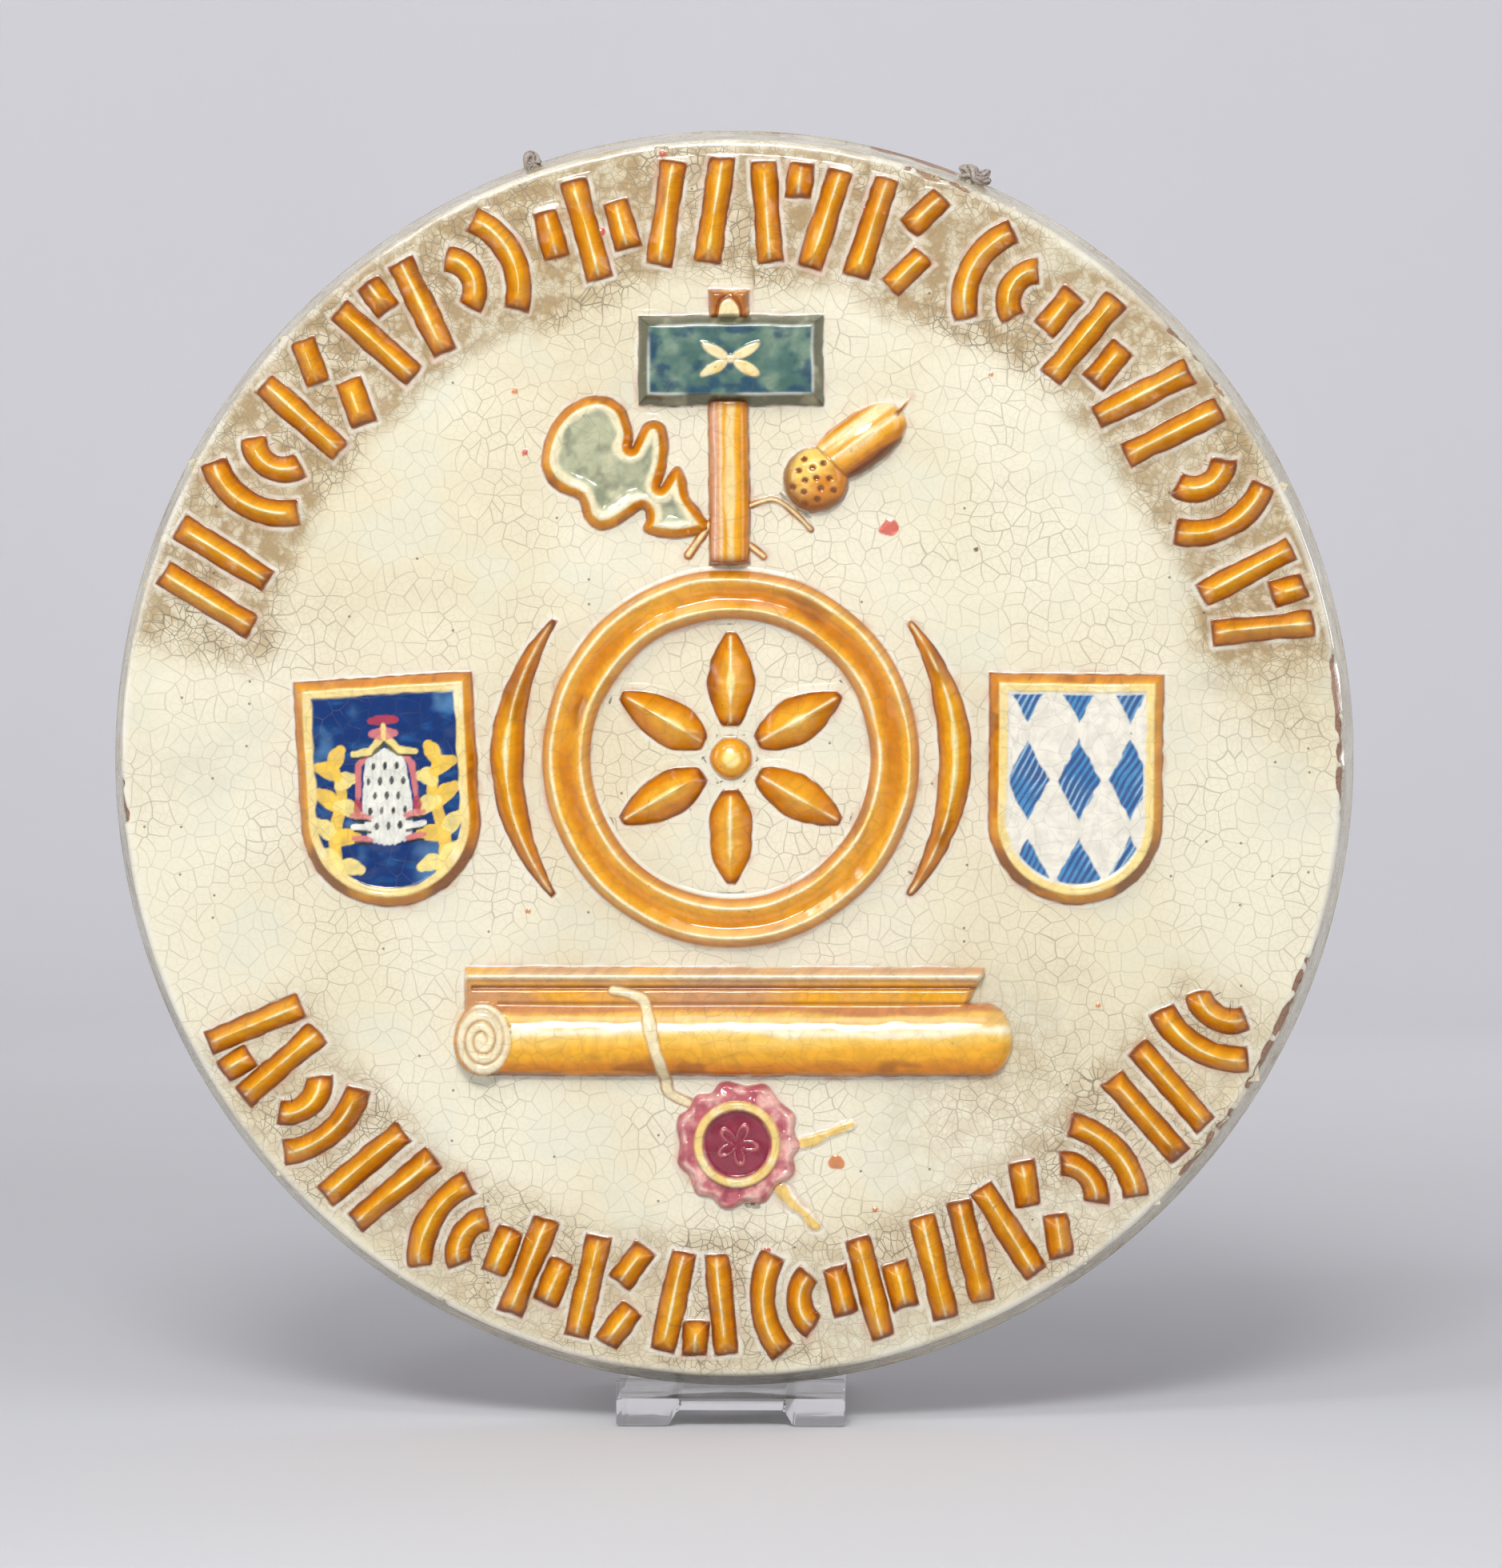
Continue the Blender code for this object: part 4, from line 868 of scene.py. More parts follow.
def roll_colour(x, z, v):
    """The roll's colour from its dark foot at v = -1 over a painted highlight band to its brown top."""
    side = v + 0.16 * layered(x * 0.25, z, 5, 195)
    rgb = mix(ROLL_DARK, ROLL_AMBER, ramp(-1.02, -0.84, side))
    rgb = mix(rgb, ROLL_GOLD, ramp(-0.76, -0.42, side))
    rgb = mix(rgb, ROLL_YELLOW, ramp(-0.30, 0.05, side))
    # Painted highlight: a pale band along the roll's upper half, standing in for a reflection of the lamps.
    rgb = mix(rgb, ROLL_HIGHLIGHT, 0.95 * bell(side, 0.27, 0.13))
    rgb = mix(rgb, ROLL_OCHRE, 0.8 * bell(side, 0.55, 0.10))
    rgb = mix(rgb, ROLL_BROWN, ramp(0.62, 0.84, side))
    pools = ramp(0.15, 0.6, layered(x * 0.5, z, 5, 196)) * ramp(-0.25, -0.6, v)
    return mix(rgb, POOLED, 0.50 * pools)


def sheet_relief(x, z):
    """The sheet's free edge over the roll, a strip with a raised flap: distance, height and groove."""
    right_edge = SHEET_RIGHT - x - 0.55 * np.clip(-66 - z, 0, 20)
    reach = np.minimum(np.minimum(x - SHEET_LEFT, right_edge), SHEET_TOP - z) + 0.2 * noise(x, z, 12, 192)
    strip = SHEET_HEIGHT * np.clip(reach / 1.6, 0, 1) ** 0.6
    flap = np.clip(1 - np.abs((z - FLAP_Z) / FLAP_HALF) ** 1.6, 0, 1) * np.clip(reach / 1.3, 0, 1) ** 0.5
    groove = bell(z, -70.6, 0.6) * (x > -80) * (x < 76)
    h = np.maximum(strip - 1.3 * groove * ramp(0, 1, reach), FLAP_HEIGHT * flap)
    return reach, np.where(z > -78, h, 0), groove


def scroll_shape(x, z):
    v = (z - ROLL_Z + 0.25 * noise(x, 0 * z, 40, 191)) / ROLL_HALF
    rho = np.hypot(v, np.maximum(x - ROLL_RIGHT, 0) / 9.2 + np.maximum(ROLL_LEFT - x, 0) / 9.3)
    end, coil_groove, end_colour = roll_end(x, z)
    roll = ROLL_HEIGHT * np.sqrt(np.clip(1 - rho ** 2, 0, 1))
    roll = np.where(end < 1, np.maximum(roll * 0.2, END_HEIGHT - 1.6 * end ** 4 - 0.8 * coil_groove), roll)
    sheet_reach, sheet, groove = sheet_relief(x, z)
    near, along = line_distance(x, z, smooth(RIBBON, 6, False))
    ribbon = RIBBON_HALF * (1 - 0.35 * np.abs(along - 0.5)) - near + 0.25 * noise(x, z, 3, 193)
    band = ramp(-0.1, 0.8, ribbon)
    distance = np.maximum(np.maximum((1 - rho) * ROLL_HALF, np.where(z > -80, sheet_reach, -9)), ribbon)
    h = np.maximum(roll, sheet) + 0.10 * layered(x * 0.4, z, 5, 194)
    h = h + (0.60 + 0.25 * bell(near, 0, 0.8)) * band
    rgb = mix(roll_colour(x, z, v), end_colour, 1 - ramp(0.94, 1.0, end))
    sheet_colour = mix(SHEET_BROWN, GOLD, ramp(-0.2, 0.7, layered(x * 0.3, z, 8, 197)))
    sheet_colour = mix(sheet_colour, SHEET_PALE, 0.95 * bell(z, -67.2, 1.0))
    sheet_colour = mix(sheet_colour, SHEET_GROOVE, 0.85 * groove)
    rgb = mix(rgb, sheet_colour, (sheet > roll) * ramp(-78, -75, z))
    rgb = mix(rgb, POOLED, 0.7 * bell(z, -75.2, 0.5) * (x > -72) * (x < 76))
    rgb = mix(rgb, RIBBON_CREAM, band)
    rgb = mix(rgb, RIBBON_EDGE, 0.7 * bell(ribbon, 0.05, 0.25))
    return distance, h, rgb, painted(distance, x, z, 198)


SEAL, SEAL_RADIUS, SEAL_HEIGHT, SEAL_LOBES = (2.0, -118.7), 19.0, 3.3, 11
TAILS = [[(20.0, -119.0), (28.0, -116.6), (36.7, -112.8)], [(14.4, -131.6), (19.6, -137.6), (26.4, -144.0)]]
TAIL_HALF, TAIL_CREAM, TAIL_OCHRE = 2.0, (0.90, 0.84, 0.66), (0.82, 0.56, 0.16)
CRIMSON, CRIMSON_HIGHLIGHT, CRIMSON_DARK = (0.52, 0.125, 0.150), (0.86, 0.48, 0.42), (0.25, 0.018, 0.045)
SEAL_HIGHLIGHT, SEAL_EDGE, STAR_PINK = (0.86, 0.58, 0.50), (0.45, 0.09, 0.10), (0.62, 0.20, 0.19)
SEAL_GOLD, SEAL_CREAM = (0.86, 0.62, 0.20), (0.90, 0.78, 0.44)


def seal_colour(x, z, radius, blob, folds, star):
    """Wax folds round a gold ring, with a small rosette in the middle; painted highlights on the fold ridges
    and near the wax's edge, painted shade in the fold hollows.
    """
    # Painted highlight on the fold ridges and painted shade in their hollows.
    rgb = mix(CRIMSON, CRIMSON_HIGHLIGHT, ramp(-0.25, 0.60, folds + 0.4 * noise(x, z, 4, 204)))
    rgb = mix(rgb, CRIMSON_DARK, ramp(0.30, 0.8, -folds) * 0.6)
    # Painted highlight just inside the wax's edge.
    rgb = mix(rgb, SEAL_HIGHLIGHT, 0.8 * bell(blob, 2.0, 0.8) * ramp(-0.1, 0.5, noise(x, z, 3, 209)))
    rgb = mix(rgb, SEAL_EDGE, ramp(0.9, 0.1, blob) * 0.6)
    rgb = mix(rgb, CRIMSON_DARK, 1 - ramp(9.8, 10.6, radius))
    rgb = mix(rgb, STAR_PINK, 0.8 * star)
    gold_ring = ramp(10.2, 10.8, radius + 0.2 * noise(x, z, 3, 205)) * (1 - ramp(13.0, 13.6, radius))
    return mix(rgb, mix(SEAL_GOLD, SEAL_CREAM, ramp(0, 0.7, layered(x, z, 4, 206))), gold_ring)


def seal_shape(x, z):
    px, pz = x - SEAL[0], z - SEAL[1]
    radius, turn = np.hypot(px, pz), np.arctan2(pz, px)
    lobes = 0.70 * np.cos(SEAL_LOBES * turn + 0.9 * np.sin(3 * turn) + 0.5 * np.sin(2 * turn + 1))
    blob = SEAL_RADIUS + lobes + 0.9 * noise(x, z, 6, 201) - radius
    folds = layered(turn * 6.0 + 1.5, radius * 0.35, 1.3, 202)
    h = SEAL_HEIGHT * np.clip(blob / 1.8, 0, 1) ** 0.6
    h = h + 0.80 * folds * ramp(13.5, 15.5, radius) * ramp(0.3, 2, blob)
    h = np.where(radius < 13.6, 4.9 - 1.9 * ramp(0.9, 1.6, np.abs(radius - 11.9)), h)
    star = bell(radius, np.abs(np.cos(2.5 * turn + 0.3)) * 6.2, 0.55)
    star = star * (radius < 7.6) * ramp(0.8, 1.6, radius)
    h = h + 0.5 * star - 0.5 * (1 - ramp(9.5, 10.4, radius))
    tail = np.full(np.shape(x), -9.0)
    for points in TAILS:
        near, along = line_distance(x, z, smooth(points, 5, False))
        tail = np.maximum(tail, TAIL_HALF * (1.1 - 0.2 * along) - near + 0.5 * noise(x, z, 3, 203))
    h = np.where(blob < 0, np.maximum(h * ramp(-1.2, 0, blob), 1.1 * np.clip(tail, 0, 1)), h)
    tail_colour = mix(TAIL_CREAM, TAIL_OCHRE, ramp(0.5, 1.2, tail + 0.5 * noise(x, z, 3, 207)))
    rgb = mix(seal_colour(x, z, radius, blob, folds, star), tail_colour, (blob < 0) & (tail > -PATCH_APRON))
    distance = np.maximum(blob, tail)
    return distance, h, rgb, painted(distance, x, z, 208)


# Stray glaze: place, size and colour of each drop or fleck
RED, RUST, BROWN = (0.62, 0.10, 0.07), (0.62, 0.20, 0.05), (0.16, 0.055, 0.02)
DROPS = (((49.0, 71.2), 3.1, RED), ((32.3, -124.4), 2.4, RUST), ((6.7, -137.0), 0.9, BROWN),
         ((44.6, -138.9), 0.9, RUST), ((-40.4, 162.0), 1.6, RED), ((41.6, 168.8), 1.5, RED),
         ((53.3, 153.0), 1.2, RUST), ((-66.5, 113.0), 1.0, RUST), ((-63.5, 94.2), 1.1, RED),
         ((53.5, 15.8), 1.2, BROWN), ((75.4, 64.3), 0.8, BROWN), ((-135.5, -73.5), 0.7, RUST),
         ((11.0, -152.0), 1.5, RED), ((-133.5, -120.5), 1.2, RED), ((80.0, 118.0), 0.8, RUST),
         ((132.5, -14.5), 0.7, BROWN), ((-62.5, -47.0), 0.8, RUST), ((30.0, 46.5), 0.7, BROWN),
         ((-21.0, 186.0), 1.0, RED), ((113.0, -76.0), 0.9, RUST))


def drop_mesh(k, centre, size, colour):
    pale = tuple(min(1.0, c * 1.8 + 0.06) for c in colour)

    def shape(x, z):
        reach = size - np.hypot(x - centre[0], (z - centre[1]) * 1.1)
        reach = reach + 0.3 * size * noise(x, z, size * 0.9, 210 + k)
        rgb = mix(colour, pale, ramp(0.2, 0.9, layered(x, z, size, 230 + k)))
        return reach, 0.45 * np.clip(reach / size, 0, 1) ** 0.5, rgb, ramp(-0.2, 0.25, reach) * 0.92

    reach = size * 1.4 + 2.6
    return field("drop", centre, (reach, reach), 0.35, shape, bleeds=False)


# The disc itself

DISC_STEPS = 640
LIP_ROUND = 2.2
DEPTH = DISC_DEPTH * 1000
# Middle angle in degrees, half width and strength of each chipped stretch of the lip
CHIPS = ((2, 10, 0.8), (329, 20, 0.68), (183, 4, 0.8), (70, 5, 0.75), (40, 8, 0.4), (118, 5, 0.4),
         (243, 8, 0.35))
REAR_CHIP = (73.0, 5.5)
FACE, LIP, SIDE, BACK_RING = 0, 1, 2, 3


def disc_profile():
    """Radius and depth behind the face of each ring of points, from the face round the rim to the back."""
    near_lip = FACE_RADIUS - LIP_ROUND
    face = [(r, 0.0) for r in np.concatenate([np.arange(0, 180, 4.0), np.arange(180, near_lip, 0.7)])]
    lip = [(near_lip + LIP_ROUND * math.sin(a), LIP_ROUND * (1 - math.cos(a)))
           for a in np.linspace(0, 1.35, 7)]
    side = [(FACE_RADIUS + (BACK_RADIUS - FACE_RADIUS) * t, LIP_ROUND + (DEPTH - LIP_ROUND) * t)
            for t in np.linspace(0.02, 0.97, 22)]
    ring = [(r, DEPTH) for r in np.linspace(BACK_RADIUS - 2, RECESS_RADIUS + 1, 10)]
    ring = [(BACK_RADIUS - 0.6, DEPTH - 0.1)] + ring
    foot = RECESS_RADIUS - RECESS_SLOPE
    recess = [(RECESS_RADIUS, DEPTH - 0.4), (RECESS_RADIUS - 1.4, 20.0), (foot, SLAB_DEPTH + 1)]
    floor = [(r, SLAB_DEPTH) for r in np.concatenate([[foot - 1], np.arange(160, -1, -8.0)])]
    return face, lip, side, ring, recess, floor


def disc_mesh():
    """The disc from its profile, with an uneven hand-made rim, chips in the lip and bare clay behind."""
    parts = disc_profile()
    profile = np.array([p for part in parts for p in part])
    kind = np.concatenate([[i] * len(part) for i, part in enumerate(parts)])
    angles = np.linspace(0, math.tau, DISC_STEPS, endpoint=False)
    r, a = np.meshgrid(profile[:, 0], angles, indexing="ij")
    depth, kinds = np.broadcast_to(profile[:, 1:], r.shape), np.broadcast_to(kind[:, None], r.shape)
    r = np.maximum(r, 0.05)
    x, z = r * np.cos(a), r * np.sin(a)
    around = angles[None, :] * FACE_RADIUS + 0 * r
    on_face, on_side = kinds <= LIP, kinds == SIDE
    rough_edge = (kinds == LIP) | on_side | (r > FACE_RADIUS - 3) & (kinds == FACE)
    dent = 0.5 * layered(around, depth * 2.5, 23, 301) + 0.25 * noise(around, depth * 1.5, 7, 302)
    pull = np.where(on_side, 0.35 + dent, 0.25 * dent) * rough_edge * ramp(0, 3, DEPTH - depth)
    chip = chip_share(x, z, around, depth)
    pull = pull + np.where(kinds <= SIDE, 0.9 * chip, 0)
    scale = (r - np.clip(pull, 0, 2)) / r
    x, z = x * scale * (1 - OVAL), z * scale * (1 + OVAL)
    wave = face_wave(x, z) * ramp(-0.1, 8, BACK_RADIUS - r) + 0.15 * dent * (r > 184)
    h = on_face * (wave - 0.5 * chip * ramp(FACE_RADIUS - 5, FACE_RADIUS - 1, r)) - depth
    drips = ramp(0.0, 0.5, layered(around, r, 26, 305)) * ramp(RECESS_RADIUS + 8, BACK_RADIUS - 4, r)
    clay = np.where(kinds >= BACK_RING, 1 - 0.75 * drips * (kinds == BACK_RING), chip)
    bare_edge = ramp(0.93, 1.0, depth / DEPTH + 0.10 * layered(around, depth, 13, 306)) * on_side
    worn_back = ramp(REAR_CHIP[1], REAR_CHIP[1] * 0.5, np.abs(np.degrees(a) - REAR_CHIP[0])) * on_side
    worn_back = worn_back * ramp(18, 23, depth + 5 * layered(around, depth, 9, 311))
    clay = np.clip(clay + 0.5 * bare_edge + worn_back, 0, 1)
    lip_line = bell(r, FACE_RADIUS - 1.0, 1.3) * on_face * (0.6 + 0.4 * noise(around, r, 12, 307))
    ground = ground_values(x, z, clay=clay, white=np.clip(lip_line, 0, 1) * (1 - chip))
    # Painted shade: the rim's outer side is darkened through the soiling channel, as if shaded.
    soil_and_side_shade = np.clip(0.48 + 0.5 * layered(around, depth, 18, 308), 0, 1)
    ground[..., 0] = np.where(on_side, soil_and_side_shade, ground[..., 0])
    outward = np.stack([np.cos(a), np.sin(a), 0 * a], axis=-1)
    unrolled = leaning(whole_place(x, z, 0 * h)) + outward * (np.where(on_side, depth, 0) / 1000)[..., None]
    return grid_mesh("plaque_body", whole_place(x, z, h), np.zeros(x.shape + (4,)), ground, flip=True,
                     wrap=True, unrolled=unrolled)


def chip_share(x, z, around, depth):
    """How far the glaze has chipped off the lip and shows the clay."""
    angle = np.degrees(np.arctan2(z, x)) % 360
    radius = np.hypot(x, z)
    worn = np.zeros(np.shape(x))
    for middle, reach, strength in CHIPS:
        off = np.abs((angle - middle + 180) % 360 - 180)
        worn = np.maximum(worn, strength * ramp(reach, reach * 0.4, off))
    near_lip = ramp(FACE_RADIUS - 3.4, FACE_RADIUS - 0.4, radius) * ramp(7, 2, depth)
    spotted = layered(around, depth + radius, 6, 309) + 0.5 * noise(around, depth, 2.2, 310)
    return ramp(0.15, 0.4, worn * near_lip * (0.55 + spotted)) * (near_lip > 0.05)


# Materials

class Graph:
    """A small helper that adds linked shader nodes."""

    def __init__(self, name):
        self.material = bpy.data.materials.new(name)
        self.material.use_nodes = True
        self.tree = self.material.node_tree
        self.tree.nodes.clear()
        self.shader = self.node("ShaderNodeBsdfPrincipled")
        self.output = self.node("ShaderNodeOutputMaterial")
        self.tree.links.new(self.shader.outputs[0], self.output.inputs["Surface"])

    def node(self, kind, **settings):
        made = self.tree.nodes.new(kind)
        for key, value in settings.items():
            setattr(made, key, value)
        return made

    def put(self, value, socket):
        if isinstance(value, bpy.types.NodeSocket):
            self.tree.links.new(value, socket)
        else:
            socket.default_value = value

    def surface(self, values):
        """Set or link the shader's sockets by name; returns the material."""
        for key, value in values.items():
            self.put(value, self.shader.inputs[key])
        return self.material

    def place(self, squash=(1, 1, 1)):
        mapping = self.node("ShaderNodeMapping")
        self.tree.links.new(self.node("ShaderNodeTexCoord").outputs["Object"], mapping.inputs["Vector"])
        mapping.inputs["Scale"].default_value = squash
        return mapping.outputs[0]

    def math(self, kind, a, b=0.0, clamp=False):
        made = self.node("ShaderNodeMath", operation=kind, use_clamp=clamp)
        self.put(a, made.inputs[0])
        self.put(b, made.inputs[1])
        return made.outputs[0]

    def times(self, a, b):
        return self.math("MULTIPLY", a, b)

    def ramp(self, value, low, high, start=0.0, end=1.0):
        made = self.node("ShaderNodeMapRange", interpolation_type="SMOOTHSTEP")
        keys = ("Value", "From Min", "From Max", "To Min", "To Max")
        for key, item in zip(keys, (value, low, high, start, end)):
            self.put(item, made.inputs[key])
        return made.outputs["Result"]

    def mix(self, share, a, b):
        made = self.node("ShaderNodeMix", data_type="RGBA")
        for key, item in ((0, share), (6, a), (7, b)):
            self.put((*item, 1) if isinstance(item, tuple) else item, made.inputs[key])
        return made.outputs[2]

    def noise(self, place, scale, detail=1.0, rough=0.55, flat=True):
        made = self.node("ShaderNodeTexNoise", noise_dimensions="2D" if flat else "3D")
        self.put(place, made.inputs["Vector"])
        for key, item in (("Scale", scale), ("Detail", detail), ("Roughness", rough)):
            made.inputs[key].default_value = item
        return made

    def cells(self, place, scale, feature):
        made = self.node("ShaderNodeTexVoronoi", feature=feature, voronoi_dimensions="2D")
        self.put(place, made.inputs["Vector"])
        made.inputs["Scale"].default_value = scale
        return made

    def attribute(self, name):
        return self.node("ShaderNodeAttribute", attribute_name=name)

    def warped(self, place, scale, amount):
        """The place pushed about by noise, in metres."""
        push = self.node("ShaderNodeVectorMath", operation="MULTIPLY_ADD")
        self.put(self.noise(place, scale, 0.0).outputs["Color"], push.inputs[0])
        push.inputs[1].default_value = (amount, amount, amount)
        self.put(place, push.inputs[2])
        return push.outputs[0]

    def bump(self, height, distance, strength=1.0):
        made = self.node("ShaderNodeBump")
        made.inputs["Distance"].default_value = distance
        made.inputs["Strength"].default_value = strength
        self.put(height, made.inputs["Height"])
        return made.outputs[0]


CREAM, CREAM_WARM, CREAM_COOL = (0.815, 0.765, 0.590), (0.765, 0.695, 0.495), (0.725, 0.720, 0.580)
SOIL_AND_SIDE_SHADE, CRACK, PIN = (0.405, 0.280, 0.130), (0.210, 0.170, 0.105), (0.10, 0.06, 0.035)
CLAY, CLAY_DARK, CLAY_PALE = (0.40, 0.22, 0.135), (0.26, 0.135, 0.085), (0.50, 0.33, 0.22)
BARE_WHITE_AND_HIGHLIGHT, PAINT_CRACK = (0.84, 0.81, 0.72), (0.10, 0.075, 0.045)
STREAKS = 0.10


def bare_clay(g, clay, tint, rough, relief):
    """Gritty clay over the glaze where it is chipped off: colour, roughness and relief."""
    grit = g.noise(g.place(), 900.0, 2.0, 0.65, flat=False).outputs["Fac"]
    patches = g.ramp(g.noise(g.place(), 40.0, flat=False).outputs["Fac"], 0.45, 0.7, 0, 0.5)
    bare = g.mix(patches, g.mix(g.ramp(grit, 0.25, 0.70), CLAY_DARK, CLAY), CLAY_PALE)
    share = g.ramp(g.math("ADD", clay, g.times(g.math("SUBTRACT", grit, 0.5), 0.5)), 0.4, 0.6)
    rough = g.math("ADD", rough, g.times(share, 0.62), clamp=True)
    return g.mix(share, tint, bare), rough, g.math("ADD", relief, g.times(g.times(grit, share), 0.5))


def glaze(name, roughness, coat, chipped):
    """Tin-glazed ceramic: crackled cream ground with soiling, and on it either chips or painted colour."""
    g = Graph(name)
    flat = g.attribute("unrolled").outputs["Vector"]
    parts = g.node("ShaderNodeSeparateColor")
    g.put(g.attribute("ground").outputs["Color"], parts.inputs[0])
    stain_and_side_shade, clay, white = parts.outputs[0], parts.outputs[1], parts.outputs[2]
    fine = g.noise(flat, 170.0, 2.0, 0.65).outputs["Fac"]
    medium = g.noise(flat, 33.0).outputs["Fac"]
    tint = g.mix(g.ramp(g.noise(flat, 12.0).outputs["Fac"], 0.38, 0.66), CREAM, CREAM_WARM)
    tint = g.mix(g.ramp(medium, 0.50, 0.72, 0.0, 0.55), tint, CREAM_COOL)
    # On the face this is soiling; on the rim's outer side it is painted shade.
    soil_and_side_shade = g.times(stain_and_side_shade, g.ramp(fine, 0.32, 0.62, 0.40, 1.0))
    tint = g.mix(g.times(soil_and_side_shade, 0.92), tint, SOIL_AND_SIDE_SHADE)
    bent = g.warped(flat, 90.0, 0.0045)
    wide = g.cells(bent, 200.0, "DISTANCE_TO_EDGE").outputs["Distance"]
    small = g.cells(bent, 420.0, "DISTANCE_TO_EDGE").outputs["Distance"]
    wide_line = g.ramp(wide, 0.012, 0.050, 1.0, 0.0)
    small_line = g.times(g.ramp(small, 0.016, 0.080, 1.0, 0.0), g.ramp(stain_and_side_shade, 0.10, 0.60, 0.26, 1.0))
    patchy = g.ramp(medium, 0.34, 0.60, 1.0, 0.45)
    line = g.times(g.math("MAXIMUM", wide_line, small_line), patchy)
    tint = g.mix(g.times(line, g.ramp(stain_and_side_shade, 0.0, 0.6, 0.50, 0.92)), tint, CRACK)
    pin = g.cells(flat, 95.0, "F1")
    pick = g.node("ShaderNodeSeparateColor")
    g.put(pin.outputs["Color"], pick.inputs[0])
    picked = g.math("GREATER_THAN", pick.outputs[0], 0.88)
    pinned = g.times(g.ramp(pin.outputs["Distance"], 0.020, 0.055, 1.0, 0.0), picked)
    tint = g.mix(g.times(pinned, 0.75), tint, PIN)
    # Whitish glaze: bare glaze on the lip, and beside painted edges partly a painted highlight.
    tint = g.mix(g.times(white, 0.8), tint, BARE_WHITE_AND_HIGHLIGHT)
    relief = g.noise(flat, 75.0).outputs["Fac"]
    rough = g.math("ADD", g.ramp(fine, 0.3, 0.7, roughness - 0.04, roughness + 0.06), g.times(line, 0.2))
    if chipped:
        tint, rough, relief = bare_clay(g, clay, tint, rough, relief)
    else:
        paint = g.attribute("paint").outputs
        streak = g.noise(bent, 260.0, 2.0, 0.6).outputs["Fac"]
        shade = g.node("ShaderNodeVectorMath", operation="SCALE")
        g.put(paint["Color"], shade.inputs[0])
        g.put(g.ramp(streak, 0.3, 0.7, 1 - STREAKS, 1 + STREAKS * 0.6), shade.inputs["Scale"])
        colour = g.mix(g.times(g.times(wide_line, patchy), 0.26), shade.outputs[0], PAINT_CRACK)
        tint = g.mix(paint["Alpha"], tint, g.mix(g.times(pinned, 0.4), colour, PIN))
    return g.surface({"Base Color": tint, "Roughness": rough, "Normal": g.bump(relief, 0.0009),
                      "Coat Weight": coat, "Coat Roughness": 0.07, "IOR": 1.5})


TWINE_DARK, TWINE_PALE, FIBRE_PALE = (0.05, 0.038, 0.030), (0.38, 0.32, 0.28), (0.66, 0.60, 0.54)


def twine_look():
    """Twisted natural twine, darker between its plies."""
    g = Graph("hemp_twine")
    place = g.place()
    ply = g.attribute("ply").outputs["Fac"]
    fibre = g.noise(place, 1500.0, 3.0, 0.7, flat=False).outputs["Fac"]
    colour = g.mix(g.ramp(ply, 0.1, 0.9), TWINE_DARK, TWINE_PALE)
    colour = g.mix(g.ramp(fibre, 0.45, 0.7, 0, 0.6), colour, FIBRE_PALE)
    return g.surface({"Base Color": colour, "Roughness": g.ramp(fibre, 0.3, 0.7, 0.75, 0.95),
                      "Sheen Weight": 0.25, "Normal": g.bump(fibre, 0.0003, 0.8)})


ACRYLIC_CLEAR, ACRYLIC_SMEAR = (0.935, 0.93, 0.925), (0.90, 0.895, 0.89)


def acrylic():
    """Clear moulded plastic with faint smears."""
    g = Graph("clear_acrylic")
    smear = g.noise(g.place((1, 1, 0.4)), 60.0, 2.0, 0.6, flat=False).outputs["Fac"]
    colour = g.mix(g.ramp(smear, 0.3, 0.7), ACRYLIC_CLEAR, ACRYLIC_SMEAR)
    return g.surface({"Base Color": colour, "Roughness": g.ramp(smear, 0.35, 0.7, 0.02, 0.09),
                      "Transmission Weight": 1.0, "IOR": 1.49, "Normal": g.bump(smear, 0.0002, 0.3)})


def dress(piece, look, slot, *nodes):
    """Give a piece its material and its place among the CAD nodes."""
    piece.data.materials.clear()
    piece.data.materials.append(look)
    piece.data.polygons.foreach_set("material_index", np.zeros(len(piece.data.polygons), np.int32))
    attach(piece, "root")
    if nodes:
        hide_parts(*nodes)


# The hanging twine

HOLE_DEPTH, HOLE_RIGHT, HOLE_LEFT = 0.020, math.radians(22.6), math.radians(-18.6)
KNOT_FOOT, ROUTE_END, CORD_RADIUS, CORD_SAG = 0.1942, 0.1947, 0.0015, 0.042
PLY_COUNT, PLY_PITCH = 3, 0.0075
RIGHT_KNOT, LEFT_KNOT, LOOP_RADIUS = (0.0044, 0.0030, 0.0024), (0.0024, 0.0018, 0.0011), 0.0014


def rim_point(angle, radius):
    """A point on the cord's plane at an angle clockwise from straight up."""
    return Vector((radius * math.sin(angle), FACE_Y + HOLE_DEPTH, CENTRE_Z + radius * math.cos(angle)))


def cord_route():
    """The twine's own points, from the right hole across the recess to the left one."""
    right = [rim_point(HOLE_RIGHT, r) for r in (ROUTE_END, 0.183, 0.171)]
    left = [rim_point(HOLE_LEFT, r) for r in (0.171, 0.183, ROUTE_END)]
    slack = []
    for share in (0.14, 0.32, 0.5, 0.68, 0.86):
        place = right[-1].lerp(left[0], share)
        place.z -= CORD_SAG * 4 * share * (1 - share)
        slack.append(place)
    return right + slack + left


